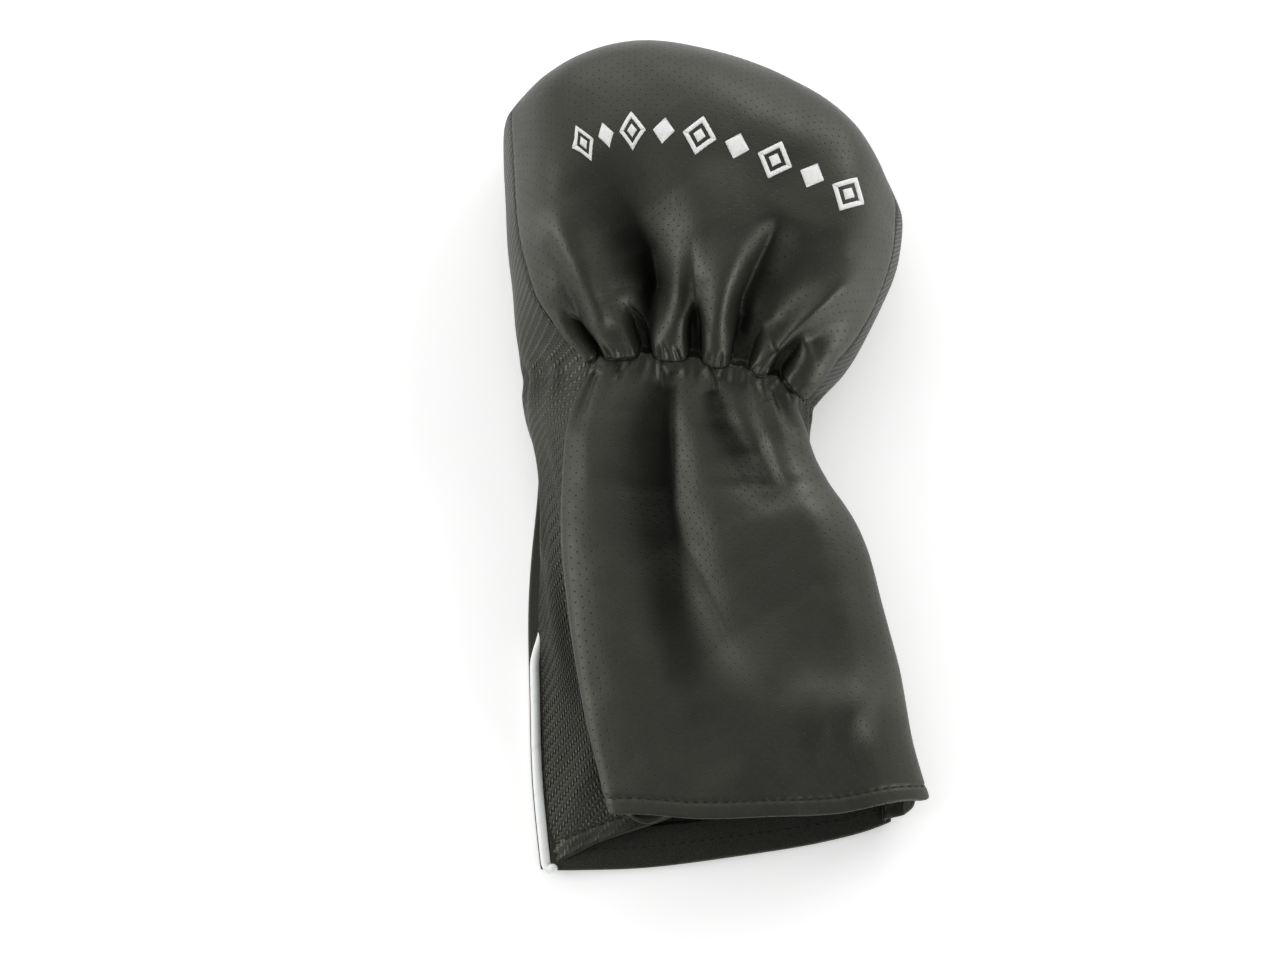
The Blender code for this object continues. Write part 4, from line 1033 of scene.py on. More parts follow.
def simulate_front():
    """Lets the front panel buckle between its seams; gives its grid and how far it moved.

    Its seams, hem, crown edge and gather line are held; pressure stands for the padding.
    """
    across = np.linspace(0, 1, CLOTH_COLUMNS)
    fine = CLOTH_FINE / LENGTH
    along = graded((0, NECK - fine, NECK + fine, 1),
                   (int((NECK - fine) * LENGTH / CLOTH_STEP) + 1, CLOTH_FINE_ROWS,
                    int((1 - NECK - fine) * LENGTH / CLOTH_STEP) + 1))
    neck_row = int(np.argmin(np.abs(along - NECK)))
    grid = np.meshgrid(across, along, indexing="ij")
    above = above_neck(along)
    base = front(*grid)
    begin = base + grid_normals(base) * coarse_relief(base, *grid)[..., None]
    held = np.zeros(base.shape[:2], bool)
    held[[0, -1]] = True
    held[:, [0, -1, neck_row]] = True

    mesh = bpy.data.meshes.new("cloth_work")
    mesh.from_pydata((begin.reshape(-1, 3) * CLOTH_UNIT).tolist(), [],
                     grid_faces(len(across), len(along)).tolist())
    mesh.update()
    panel = bpy.data.objects.new("cloth_work", mesh)
    scene = bpy.context.scene
    scene.collection.objects.link(panel)
    panel.shape_key_add(name="Basis")
    key = panel.shape_key_add(name="rest")
    key.data.foreach_set("co", cloth_rest(base, above).reshape(-1) * CLOTH_UNIT)
    key.value = 0.0
    pin = panel.vertex_groups.new(name="pin")
    pin.add([int(i) for i in np.nonzero(held.reshape(-1))[0]], 1.0, "REPLACE")
    # Only the head is padded; the sleeve hangs almost free.
    padded = panel.vertex_groups.new(name="padded")
    for row, weight in enumerate(0.02 + 0.98 * smooth(above, -4, 6)):
        ids = [int(i) for i in np.arange(len(across)) * len(along) + row]
        padded.add(ids, float(weight), "REPLACE")

    cloth = panel.modifiers.new("cloth", "CLOTH")
    settings = cloth.settings
    for name, value in CLOTH_SETTINGS.items():
        setattr(settings, name, value)
    settings.vertex_group_mass = "pin"
    settings.rest_shape_key = key
    settings.vertex_group_pressure = "padded"
    settings.effector_weights.gravity = 0.0
    cloth.collision_settings.use_collision = False
    cloth.collision_settings.use_self_collision = False
    cloth.point_cache.frame_start = 1
    cloth.point_cache.frame_end = CLOTH_FRAMES
    before = scene.frame_current
    for number in range(1, CLOTH_FRAMES + 1):
        scene.frame_set(number)

    done = panel.evaluated_get(bpy.context.evaluated_depsgraph_get())
    result = done.to_mesh()
    points = np.empty(len(result.vertices) * 3)
    result.vertices.foreach_get("co", points)
    done.to_mesh_clear()
    bpy.data.objects.remove(panel)
    bpy.data.meshes.remove(mesh)
    scene.frame_set(before)
    return across, along, points.reshape(base.shape) / CLOTH_UNIT - base


def resample(across, along, values, new_across, new_along):
    """Splines both ways through a grid of values, read at the crossings of a new grid."""
    first = natural_spline(across, values)(new_across)
    return np.swapaxes(natural_spline(along, np.swapaxes(first, 0, 1))(new_along), 0, 1)


# ---------------------------------------------------------------- the front panel's final shape
def gather_shape(base, normals, across, along):
    """How the panel moves close to the elastic: rounded lobes hanging over it, narrow gaps."""
    above = above_neck(along)
    up = np.maximum(above, 0)
    lobe = np.zeros(across.shape)
    sideways = np.zeros(across.shape)
    widen = 0.94 + 0.10 * smooth(up, 0, 4) + 0.25 * smooth(up, 8, 26)
    for low, high, height in LOBES:
        half = 0.5 * (high - low) * widen
        place = (across - 0.5 * (low + high)) / half
        inner = np.clip(place, -1, 1)
        dome = height * np.cos(0.5 * math.pi * inner) ** 0.62
        better = (np.abs(place) < 1) & (dome > lobe)
        lobe = np.where(better, dome, lobe)
        sideways = np.where(better, np.sin(math.pi * inner) * half, sideways)
    rise = 1 - np.exp(-np.maximum(above + 0.9, 0) / 1.5)
    free = clear_of_sides(across, 0.03)
    gaps = 4.6 * (1 - np.clip(lobe / 2.4, 0, 1)) * smooth(above, -0.8, 2.0)
    relief = (1.4 * lobe * rise - gaps - 0.9 * bell(above, 1.1)) * free
    # thin creases, each with a low ridge 1.4 mm to either side
    for place, reach, depth, lean in LOBE_CREASES:
        off = (across - place - lean * up / reach) * LOBE_WIDTH
        end = 1 - smooth(above, 0.45 * reach, reach)
        relief -= depth * bell(off, 0.62) * smooth(above, -0.6, 1.0) * end
        ridges = bell(off - 1.4, 0.8) + bell(off + 1.4, 0.8)
        relief += 0.35 * depth * ridges * smooth(above, -0.2, 1.4) * end
    ripple = puckers(across * LOBE_WIDTH, above, free, pitch=4.3, wander=1.8, stretch=0.15,
                     patches=(8.0, 6.0), seed=SEED + 31)
    relief += ripple * 0.5 * decay(np.maximum(-above, 0), 3.6) * (above < 1.0)
    hang = free * np.clip(lobe / 3.6, 0, 1.2) * 2.0 * bell(above - 2.2, 2.6)
    # The stitched line itself sags under each lobe and rises into the gaps.
    wave, _ = lobe_wave(across)
    hang += free * (1.5 * (0.5 + 0.5 * wave) - 0.9) * 1.5 * bell(above, 4.0)
    swell = free * sideways * LOBE_WIDTH * 0.17 * rise * decay(up, 9.0)
    return (normals * relief[..., None] - unit(np.gradient(base, axis=1)) * hang[..., None]
            + unit(np.gradient(base, axis=0)) * swell[..., None])


def front_points(base, normals, across, along):
    """The front panel with all its folds."""
    above = above_neck(along)
    move = resample(*simulate_front(), across[:, 0], along[0])
    move = move * (1 - 0.5 * smooth(-above, 10, 60) - 0.15 * smooth(above, 10, 30))[..., None]
    near = (smooth(above, -7.0, -1.5) * (1 - smooth(above, 8.0, 26.0)))[..., None]
    gathered = gather_shape(base, normals, across, along)
    gathered = gathered + 0.25 * move * smooth(above, 0, 9)[..., None]
    points = base + (move * (1 - near) + gathered * near)
    # the main folds, pressed in a little further than the cloth leaves them
    head_press = 0.95 * smooth(above, 5, 18)
    sleeve_press = 0.42 * smooth(-above, 0, 9) + 0.80 * smooth(-above, 6, 46)
    fold_amount = main_folds(base[..., 0], base[..., 1], head_press, sleeve_press)
    fold_amount = fold_amount * smooth(across, 0.0, 0.07) * smooth(1 - across, 0.0, 0.12)
    points = points + normals * fold_amount[..., None]
    points = points + grid_normals(points) * fine_relief(base, across, along)[..., None]
    # rounded corners at the two ends of the hem: distance in from the side, corner radius
    lengthwise = unit(np.gradient(base, axis=1))
    for inward, corner in ((across - 0.028, 4.5), (0.962 - across, 6.0)):
        short = np.clip(corner - np.maximum(inward, 0) * 128.0, 0, corner)
        lift = corner - np.sqrt(np.maximum(corner ** 2 - short ** 2, 0))
        points = points + lengthwise * (lift * 0.8 * decay(along * LENGTH, 5.0))[..., None]
    return points


def front_pattern(across, along):
    """Flat-pattern coordinates of the front panel, which is cut to a width of its own."""
    neck = NECK * LENGTH
    width = np.interp(along * LENGTH, [0, 90, neck - 30, neck, neck + 40, neck + 90, LENGTH],
                      [138, 132, 124, 118, 136, 168, 160])
    return np.stack([(across - 0.5) * width, along * LENGTH], axis=-1)


# A panel's grid: outer points, outward normals, pattern, and the places of its rows and columns
Sheet = namedtuple("Sheet", "points normals uv rows cols")

FRONT_GRID = np.meshgrid(
    graded((0.0008, 0.045, 0.955, 0.9992), (15, 160, 15)),
    graded((0.0, 10.0 / LENGTH, NECK - 14.0 / LENGTH, NECK + 24.0 / LENGTH, 0.95, 0.9992),
           (13, 78, 78, 62, 26)), indexing="ij")
FRONT_BASE = front(*FRONT_GRID)
FRONT_BASE_NORMALS = grid_normals(FRONT_BASE)
FRONT_POINTS = front_points(FRONT_BASE, FRONT_BASE_NORMALS, *FRONT_GRID)
FRONT = Sheet(FRONT_POINTS, grid_normals(FRONT_POINTS), front_pattern(*FRONT_GRID),
              FRONT_GRID[0][:, 0], FRONT_GRID[1][0])


# ---------------------------------------------------------------- gusset
PIPE_IN = 1.6        # the piping's centre, inside the back panel's edge
PIPE_RADIUS = 2.0
GUSSET_DEPTH = 46.0  # the strip's width, as its relief is spaced


def back_ring(lap):
    """The back panel's edge, at places round the gusset."""
    zero, one = np.zeros_like(lap), np.ones_like(lap)
    return round_the_edge(lap, back(zero, np.clip(lap, 0, 1)), back(np.clip(lap - 1, 0, 1), one),
                          back(one, np.clip(3 - lap, 0, 1)))


def ring_outward(lap):
    step = 2e-3
    run = back_ring(np.clip(lap + step, 0, 3)) - back_ring(np.clip(lap - step, 0, 3))
    return unit(np.stack([-run[..., 1], run[..., 0], np.zeros(run.shape[:-1])], axis=-1))


def gusset_relief(points, down, lap):
    above = above_neck(side_along(lap))
    on_side = (lap < 1) | (lap > 2)
    run = down * GUSSET_DEPTH
    # puckers at the neck, which is drawn in
    pleat = np.sin(TURN * run / 9.0 + 1.3 * value_noise(run, above * 0.15, 8.0, SEED + 11))
    relief = (np.where(on_side, pleat * (1.0 * bell(above + 4, 9.0)), 0)
              * smooth(down, 0.02, 0.25) * smooth(1 - down, 0.0, 0.2))
    relief += np.where(on_side, -1.2 * bell(above + 2, 5.0), 0) * smooth(down, 0.0, 0.3)
    # slanting drag lines in the sleeve
    slant = np.sin(TURN * (above * 0.55 + run * 1.2) / 27.0
                   + 1.5 * value_noise(run, above, 22.0, SEED + 12))
    relief += (np.where(on_side & (above < 0), 0.55 * slant * smooth(-above, 5, 30), 0)
               * smooth(down, 0.45, 0.6) * smooth(1 - down, 0.02, 0.2))
    # general unevenness
    uneven = value_noise(points[..., 0] + 0.4 * points[..., 2], points[..., 1], 20.0, SEED + 13)
    relief += 0.45 * uneven * clear_of_sides(down, 0.1)
    # rolled edges at both seams
    relief -= 0.8 * decay(run, 1.2) * smooth(above, -30, 0)
    relief -= 0.5 * decay(GUSSET_DEPTH - run, 1.2)
    # the stitched hem, in soft layers where the left side folds under
    from_hem = np.minimum(lap, 3 - lap) * LENGTH
    relief -= stitch_dent(run, from_hem, hole_depth=0.3)
    layers = np.sin(TURN * (from_hem + 1.4 * down) / 2.3)
    relief += np.where(lap < 1, 0.34 * layers * smooth(from_hem, 0.2, 0.8)
                       * (1 - smooth(from_hem, 4.0, 5.2)), 0)
    return relief


def gusset_points(base, normals, down, lap):
    points = base + normals * gusset_relief(base, down, lap)[..., None]
    # The hem's corners at the front seam are drawn up.
    for run in (lap * LENGTH, (3 - lap) * LENGTH):
        points[..., 1] += 3.4 * decay(run, 4.0) * bell(down * GUSSET_DEPTH, 4.0)
    return points


def gusset_pattern(down, lap):
    width = np.interp(side_along(lap), [0, 0.5, 0.62, 1.0], [66, 52, 48, 47])
    return np.stack([down * width, lap * LENGTH], axis=-1)


GUSSET_GRID = np.meshgrid(
    graded((0.0, 0.05, 0.95, 1.0), (6, 44, 6)),
    graded((0.0, 0.03, 0.98, 1.03, 1.97, 2.02, 2.97, 3.0), (9, 230, 14, 130, 14, 200, 8)),
    indexing="ij")
# The lower edge comes in over the piping.
GUSSET_BASE = (gusset(*GUSSET_GRID) - ring_outward(GUSSET_GRID[1])
               * (smooth(GUSSET_GRID[0], 0.55, 1.0) * (PIPE_IN + 1.2))[..., None])
GUSSET_BASE_NORMALS = -grid_normals(GUSSET_BASE)
GUSSET_POINTS = gusset_points(GUSSET_BASE, GUSSET_BASE_NORMALS, *GUSSET_GRID)
GUSSET = Sheet(GUSSET_POINTS, -grid_normals(GUSSET_POINTS), gusset_pattern(*GUSSET_GRID),
               GUSSET_GRID[0][:, 0], GUSSET_GRID[1][0])


# ---------------------------------------------------------------- back panel
def back_wide(across, along, extra):
    """The back panel with its edge let out by extra all round, except at the hem."""
    left = ring_outward(np.clip(along, 0, 1)) * (1 - smooth(across, 0, 0.12))[..., None]
    right = ring_outward(3 - np.clip(along, 0, 1)) * (1 - smooth(1 - across, 0, 0.12))[..., None]
    top = ring_outward(1 + np.clip(across, 0.004, 0.996)) * smooth(along, 0.93, 1.0)[..., None]
    out = (left + right) * (1 - smooth(along, 0.97, 1.0))[..., None] + top
    size = np.linalg.norm(out, axis=-1, keepdims=True)
    return back(across, along) + out / np.maximum(size, 1.0) * extra


def back_points(across, along):
    points = back_wide(across, along, extra=0.3)
    # ripples at the neck, a little unevenness, and the hem's edge waving off the table
    phase = TURN * across * 14 + 2 * value_noise(across * 90, along * 40, 8.0, SEED + 21)
    lift = 0.45 * bell(above_neck(along), 12.0) * (1 + np.sin(phase))
    lift += (0.22 * (1 + value_noise(points[..., 0], points[..., 1], 24.0, SEED + 22))
             * smooth(np.minimum(across, 1 - across), 0.0, 0.1))
    lift += (decay(along * LENGTH, 14.0)
             * (0.5 + 0.5 * np.sin(TURN * across * 2.3 + 0.6)) * 0.8)
    points[..., 2] += lift + 0.02
    return points


BACK_GRID = np.meshgrid(graded((0.0, 0.04, 0.96, 1.0), (8, 70, 8)),
                        graded((0.0, 0.03, 0.96, 1.0), (8, 150, 9)), indexing="ij")
BACK_POINTS = back_points(*BACK_GRID)
BACK = Sheet(BACK_POINTS, -grid_normals(BACK_POINTS),
             np.stack([(BACK_GRID[0] - 0.5) * 150.0, BACK_GRID[1] * LENGTH], axis=-1),
             BACK_GRID[0][:, 0], BACK_GRID[1][0])


# ---------------------------------------------------------------- painted shade and highlights on the folds
# Painted shade on the inner sides of the deepest folds, darkening and dulling the leather: path
# towards the hem, strengths, reaches to its left (-X), reaches to its right (+X)
PAINTED_FOLD_SHADE = [
    (((-49.8, 102), (-38.1, 89.6), (-30.8, 73.4), (-28.7, 58), (-27.1, 43), (-27.5, 37.7)),
     (0, 0.5, 0.9, 1, 1, 0.9), (10, 12, 12.5, 11, 5, 3), (7, 5.5, 4, 2.6, 2, 1.8)),
    (((24.3, 88.9), (21.9, 78.4), (19.7, 65.2), (12.9, 54.3), (8.9, 41.4)),
     (0.2, 0.55, 0.7, 0.6, 0.5), (5, 5, 5, 4.5, 3.5), (16, 14, 9, 6, 4)),
    (((-17, 74.6), (-15.3, 63.7), (-12.4, 53), (-8.7, 38.7)),
     (0, 0.4, 0.6, 0.8), (6, 5, 4, 3), (4, 4, 3, 2.4)),
    (((-69.5, 82.9), (-62.6, 68.8), (-54.5, 51.9), (-46.8, 37.4)),
     (0.2, 0.4, 0.5, 0.5), (6, 5, 4, 2.5), (4, 3.5, 3, 2)),
    (((-18.3, 27.7), (-20, -2.3), (-21.7, -26.5), (-19, -48.9), (-17, -69.4), (-12.6, -91.2),
      (-4.5, -113.3)),
     (0.7, 0.9, 0.95, 0.95, 0.85, 0.55, 0.1), (12, 18, 18, 16, 13, 11, 10),
     (1.8, 1.9, 2.2, 4, 6.5, 9, 12)),
    (((-1.3, 23.7), (4, 8.8), (11.4, -2.3), (17, -15.4), (18.6, -30.6)),
     (0.7, 0.85, 0.8, 0.5, 0.1), (6, 7.5, 9, 9, 9), (2.6, 3.2, 4.2, 6, 8)),
]
# Painted highlights on ridges, where the specular is raised: path, strength, reach
PAINTED_FOLD_HIGHLIGHT = [
    (((8.9, 16.3), (26.4, -4.2), (39.4, -20.4)), -0.35, 8.0),
    (((-14.1, -50.8), (-2, -76.6), (12.5, -99.8)), -0.30, 6.5),
    (((25.5, -99.8), (67.1, -96.8)), -0.55, 11.0),
    (((-70.3, 87.7), (-57.3, 63.8), (-46.8, 42.8)), -0.50, 5.0),
    (((54.9, 101), (59, 74.8), (49.1, 48.6)), -0.45, 15.0),
    (((-1.3, 99.6), (-2.9, 69.6)), -0.45, 15.0),
]


# Painted shade in the folds, and a painted highlight where the value falls below 0, for points in
# plan.
def painted_fold_shade_and_highlight(x, y):
    shade = np.zeros(x.shape)
    for path, strengths, left, right in PAINTED_FOLD_SHADE:
        distance, share, side = along_path(x, y, path)
        across = np.where(side > 0, bell(distance, spread(share, right)),
                          np.exp(-((distance / spread(share, left)) ** 3.4)))
        # A shade that is already weak at its lower end fades right out there.
        fades = (0.03, 0.12 if strengths[-1] < 0.3 else 0)
        shade = np.maximum(shade, spread(share, strengths) * across * fade_ends(share, fades))
    for path, strength, reach in PAINTED_FOLD_HIGHLIGHT:
        distance, _, _ = along_path(x, y, path)
        shade = shade + strength * bell(distance, reach) * (1 - np.clip(2 * shade, 0, 1))
    return shade


# ---------------------------------------------------------------- outer pieces
LEATHER_THICKNESS = 1.2


def panels():
    # The front panel carries the painted fold shade and highlight.
    closed_sheet("front_panel", "perforated_leather", ["front_panel_head", "front_panel_sleeve"],
                 FRONT.points, FRONT.normals, FRONT.uv, LEATHER_THICKNESS,
                 shade=painted_fold_shade_and_highlight(FRONT_BASE[..., 0], FRONT_BASE[..., 1]))
    closed_sheet("gusset", "carbon_embossed_leather",
                 ["gusset_head", "gusset_left_sleeve", "gusset_right_sleeve"],
                 GUSSET.points, GUSSET.normals, GUSSET.uv, LEATHER_THICKNESS)
    closed_sheet("back_panel", "plain_leather", ["back_panel_head", "back_panel_sleeve"],
                 BACK.points, BACK.normals, BACK.uv, LEATHER_THICKNESS)


def pipe_tucked(lap):
    """0 where the piping shows beside the lower sleeve, 1 where the gusset covers it."""
    y = back_ring(lap)[..., 1]
    return np.where(lap < 1, smooth(y, -86.0, -68.0),
                    np.where(lap > 2, smooth(y, -150.0, -135.0), 1.0))


def piping():
    """The cord round the back panel's edge, with its end curled out at the left of the hem."""
    lap = np.concatenate([
        np.linspace(0.004, 0.985, 230), np.linspace(0.990, 1.010, 8),
        np.linspace(1.02, 1.98, 120), np.linspace(1.990, 2.010, 8),
        np.linspace(2.015, 2.93, 200)])
    tucked = pipe_tucked(lap)
    line = back_ring(lap) - ring_outward(lap) * (PIPE_IN + 3.2 * tucked)[..., None]
    line[..., 2] = 1.35 + PIPE_RADIUS - 0.6 * tucked
    above = above_neck(side_along(lap))
    ripple = 0.5 * bell(above, 10.0) * (1 + np.sin(lap * 420.0)) * 0.5
    line[..., 2] += np.where((lap < 1) | (lap > 2), ripple, 0)
    for _ in range(3):
        line[1:-1] = 0.25 * line[:-2] + 0.5 * line[1:-1] + 0.25 * line[2:]
    curl = line[0] + np.array([(2.9, -2.4, 1.4), (1.7, -2.5, 0.5), (0.6, -1.6, 0.1)])
    radius = np.concatenate([np.full(len(curl), PIPE_RADIUS), PIPE_RADIUS - 0.9 * tucked])
    cord("piping", "white_piping", ["piping_head", "piping_left_sleeve", "piping_right_sleeve"],
         np.concatenate([curl, line]), radius)


# ---------------------------------------------------------------- inner layers
def pick(grid, rows, cols):
    return grid[np.ix_(rows, cols)]


def inside(values, low, high, step=1):
    """Every step-th place between low and high, and the last one."""
    ids = np.nonzero((values >= low) & (values <= high))[0]
    return np.unique(np.concatenate([ids[::step], ids[-1:]]))


def lowest_near(heights, reach):
    """The lowest value within reach cells each way, then softened: it clears every fold."""
    out = heights.copy()
    for axis in (0, 1):
        best = out.copy()
        size = out.shape[axis]
        for k in range(1, reach + 1):
            for ids in (np.arange(size) - k, np.arange(size) + k):
                # Past an edge, the edge's own value counts.
                best = np.minimum(best, np.take(out, np.clip(ids, 0, size - 1), axis))
        out = best
    for _ in range(2 * reach):
        out[1:-1] = 0.25 * out[:-2] + 0.5 * out[1:-1] + 0.25 * out[2:]
        out[:, 1:-1] = 0.25 * out[:, :-2] + 0.5 * out[:, 1:-1] + 0.25 * out[:, 2:]
    return out


def inner_layer(name, slot, nodes, sheet, rows, cols, depth, deeper=0.0, thickness=0.9, step=2):
    """A layer under part of a sheet; the head's part lies deeper than the sleeve's."""
    rows = inside(sheet.rows, *rows, step)
    cols = inside(sheet.cols, *cols, step)
    depth = depth + deeper * smooth(above_neck(side_along(sheet.cols[cols])), 0, 9)
    normals = pick(sheet.normals, rows, cols)
    closed_sheet(name, slot, nodes, pick(sheet.points, rows, cols) - normals * depth[:, None],
                 normals, pick(sheet.uv, rows, cols), thickness, steps=2)


def padding_and_linings():
    relief = ((FRONT.points - FRONT_BASE) * FRONT_BASE_NORMALS).sum(axis=-1)
    lift = np.minimum(lowest_near(relief, 3), 0.6)[..., None]
    soft_front = FRONT._replace(points=FRONT_BASE + FRONT_BASE_NORMALS * lift,
                                normals=FRONT_BASE_NORMALS)
    soft_gusset = GUSSET._replace(normals=GUSSET_BASE_NORMALS)
    pad_start = NECK + 7.0 / LENGTH
    lining_start = 12.5 / LENGTH
    inner_layer("padding_front", "padding_foam", ["padding_front_head"], soft_front,
                rows=(0.014, 0.986), cols=(pad_start, 0.988), depth=1.9, thickness=2.8)
    inner_layer("lining_front", "brushed_lining", ["lining_front_head", "lining_front_sleeve"],
                soft_front, rows=(0.02, 0.98), cols=(lining_start, 0.982), depth=1.7, deeper=3.6)
    inner_layer("padding_gusset", "padding_foam", ["padding_gusset_head"], soft_gusset,
                rows=(0.07, 0.86), cols=(pad_start, 3 - pad_start), depth=1.9, thickness=2.6)
    inner_layer("lining_gusset", "brushed_lining",
                ["lining_gusset_head", "lining_left_sleeve", "lining_right_sleeve"], soft_gusset,
                rows=(0.05, 0.84), cols=(lining_start, 3 - lining_start), depth=1.9, deeper=3.4)
    inner_layer("padding_back", "padding_foam", ["padding_back_head"], BACK,
                rows=(0.045, 0.955), cols=(pad_start, 0.965), depth=1.6, thickness=3.2)
    inner_layer("lining_back", "brushed_lining", ["lining_back_head", "lining_back_sleeve"],
                BACK, rows=(0.03, 0.97), cols=(4.0 / LENGTH, 0.965), depth=1.5, deeper=3.7,
                step=1)


# ---------------------------------------------------------------- hem facings
FACING_LENGTH = 13.0


def facing(name, sheet, from_hem, rows, depth=1.55, slot="plain_leather"):
    """The turned-in strip behind the hem; from_hem is the length from it to each column."""
    rows = inside(sheet.rows, *rows)
    cols = np.nonzero(from_hem <= FACING_LENGTH)[0]
    normals = pick(sheet.normals, rows, cols)
    closed_sheet(name, slot, [name], pick(sheet.points, rows, cols) - normals * depth,
                 normals, pick(sheet.uv, rows, cols), thickness=1.0)


def hem_facings():
    facing("hem_facing_front", FRONT, FRONT.cols * LENGTH, rows=(0.006, 0.99))
    facing("hem_facing_left", GUSSET, GUSSET.cols * LENGTH, rows=(0.03, 0.90))
    facing("hem_facing_right", GUSSET, (3 - GUSSET.cols) * LENGTH, rows=(0.04, 0.95))
    facing("hem_facing_back", BACK, BACK.cols * LENGTH, rows=(0.03, 0.985), depth=2.6,
           slot="brushed_lining")


# ---------------------------------------------------------------- stitches
def stitch_row(name, node, line, normals, length, radius, sink):
    """Separate stitches along a line, each bowed into the material at its two ends."""
    run = np.concatenate([[0], np.cumsum(np.linalg.norm(np.diff(line, axis=0), axis=1))])
    count = max(1, int(run[-1] / STITCH_PITCH))
    sides, rings = 8, 9
    turn = np.linspace(0, TURN, sides, endpoint=False)
    steps = np.linspace(0, 1, rings)
    bow = np.sin(math.pi * steps) ** 0.5
    loop = np.arange(sides)
    cap = np.array([[loop[0], k + 2, k + 1, k] for k in (1, 3, 5)])
    cap = np.array([[loop, loop + k + 2, loop + k + 1, loop + k] for k in (1, 3, 5)]) \
        if loop.ndim == 0 else cap
    points, faces, uvs = [], [], []
    rng = np.random.default_rng(SEED + 50)
    for k in range(count):
        start = run[-1] * (k + 0.5) / count - length / 2 + rng.uniform(-0.08, 0.08)
        at = start + steps * length
        centre = np.stack([np.interp(at, run, line[:, i]) for i in range(3)], axis=1)
        normal = unit(np.stack([np.interp(at, run, normals[:, i]) for i in range(3)], axis=1))
        reach = (radius * (0.35 + 0.65 * bow) * rng.uniform(0.93, 1.05))[:, None, None]
        centre = centre + normal * (radius * 0.55 * bow - radius * 1.1 * (1 - bow) - sink)[:, None]
        tangent = unit(np.gradient(centre, axis=0))
        side = unit(np.cross(tangent, normal))
        up = np.cross(side, tangent)
        ring = (centre[:, None] + side[:, None] * (np.cos(turn)[None, :, None] * reach)
                + up[:, None] * (np.sin(turn)[None, :, None] * reach))
        points.append(ring.reshape(-1, 3))
        uvs.append(np.stack([np.repeat(at, sides), np.tile(turn, rings)], axis=1))
        base = k * rings * sides
        for i in range(rings - 1):
            first = base + i * sides + loop
            faces.append(ring_faces(first, first + sides))
        faces.append(base + cap)
        faces.append((base + (rings - 1) * sides + cap)[:, ::-1])
    add_piece(name, "black_thread", [node], np.concatenate(points), np.concatenate(faces),
              np.concatenate(uvs))


def hem_row(sheet, first, last):
    """Points and normals along the stitching, short of its ends by first and last rows."""
    lengths = sheet.cols * LENGTH
    k = np.searchsorted(lengths, HEM_STITCH)
    part = (HEM_STITCH - lengths[k - 1]) / (lengths[k] - lengths[k - 1])
    return [(grid[:, k - 1] * (1 - part) + grid[:, k] * part)[first:-last]
            for grid in (sheet.points, sheet.normals)]


def hem_stitching():
    stitch_row("hem_stitching_front", "hem_thread_front", *hem_row(FRONT, 4, 6),
               length=2.9, radius=0.32, sink=0.20)
    stitch_row("hem_stitching_gusset", "hem_thread_gusset", *hem_row(GUSSET, 2, 4),
               length=2.9, radius=0.32, sink=0.20)
    # The back's stitches show on its inner face, 3.6 mm in from the outer one.
    line, normals = hem_row(BACK, 6, 6)
    stitch_row("hem_stitching_back", "hem_thread_back", line - normals * 3.6, -normals,
               length=3.0, radius=0.34, sink=0.30)


# ---------------------------------------------------------------- emblem
EMBLEM_ARC = natural_spline(np.linspace(0, 1, 5), [(-57.5, 116.5), (-37.0, 122.5), (-8.0, 119.5),
                                                   (25.0, 110.0), (57.0, 95.5)])
EMBLEM_LENGTH = 126.0
DIAMONDS = 9
LARGE_HALF = (6.6, 8.2)      # half width and half height of an open diamond
SMALL_HALF = (4.6, 5.4)      # and of a solid one
BAR_SHARE = 0.34             # width of the open diamond's bars, as a share of its half height
CENTRE_SHARE = 0.36          # size of the solid one inside it


def grid_point(grid, across, along):
    """A front panel grid read between its points."""
    i = np.clip(np.searchsorted(FRONT.rows, across) - 1, 0, len(FRONT.rows) - 2)
    j = np.clip(np.searchsorted(FRONT.cols, along) - 1, 0, len(FRONT.cols) - 2)
    right = ((across - FRONT.rows[i]) / (FRONT.rows[i + 1] - FRONT.rows[i]))[..., None]
    up = ((along - FRONT.cols[j]) / (FRONT.cols[j + 1] - FRONT.cols[j]))[..., None]
    return ((grid[i, j] * (1 - right) + grid[i + 1, j] * right) * (1 - up)
            + (grid[i, j + 1] * (1 - right) + grid[i + 1, j + 1] * right) * up)


def on_front(x, y):
    """The front panel's surface and normal over points in plan, found by Newton steps."""
    across = np.full(x.shape, 0.5)
    along = np.full(x.shape, 0.85)
    step = 2e-3

    def slope(d_across, d_along):
        change = (grid_point(FRONT_BASE, across + d_across, along + d_along)
                  - grid_point(FRONT_BASE, across - d_across, along - d_along))
        return change[..., :2] / (2 * step)

    def cross(first, second):
        return first[..., 0] * second[..., 1] - first[..., 1] * second[..., 0]

    for _ in range(14):
        by_across, by_along = slope(step, 0), slope(0, step)
        miss = np.stack([x, y], axis=-1) - grid_point(FRONT.points, across, along)[..., :2]
        area_ = cross(by_across, by_along)
        move_across = cross(miss, by_along) / area_
        move_along = cross(by_across, miss) / area_
        across = np.clip(across + np.clip(move_across, -0.1, 0.1), 0.01, 0.99)
        along = np.clip(along + np.clip(move_along, -0.1, 0.1), NECK, 0.985)
    normals = grid_point(FRONT.normals, across, along)
    return grid_point(FRONT.points, across, along), unit(normals)


def frame_on_arc(share):
    """Points on the emblem's arc, carried straight on past its ends, and its upward normals."""
    on = np.clip(share, 0, 1)
    ahead = unit(EMBLEM_ARC(np.clip(on + 1e-3, 0, 1)) - EMBLEM_ARC(np.clip(on - 1e-3, 0, 1)))
    centre = EMBLEM_ARC(on) + ahead * ((share - on) * EMBLEM_LENGTH)[..., None]
    return centre, np.stack([-ahead[..., 1], ahead[..., 0]], axis=-1)


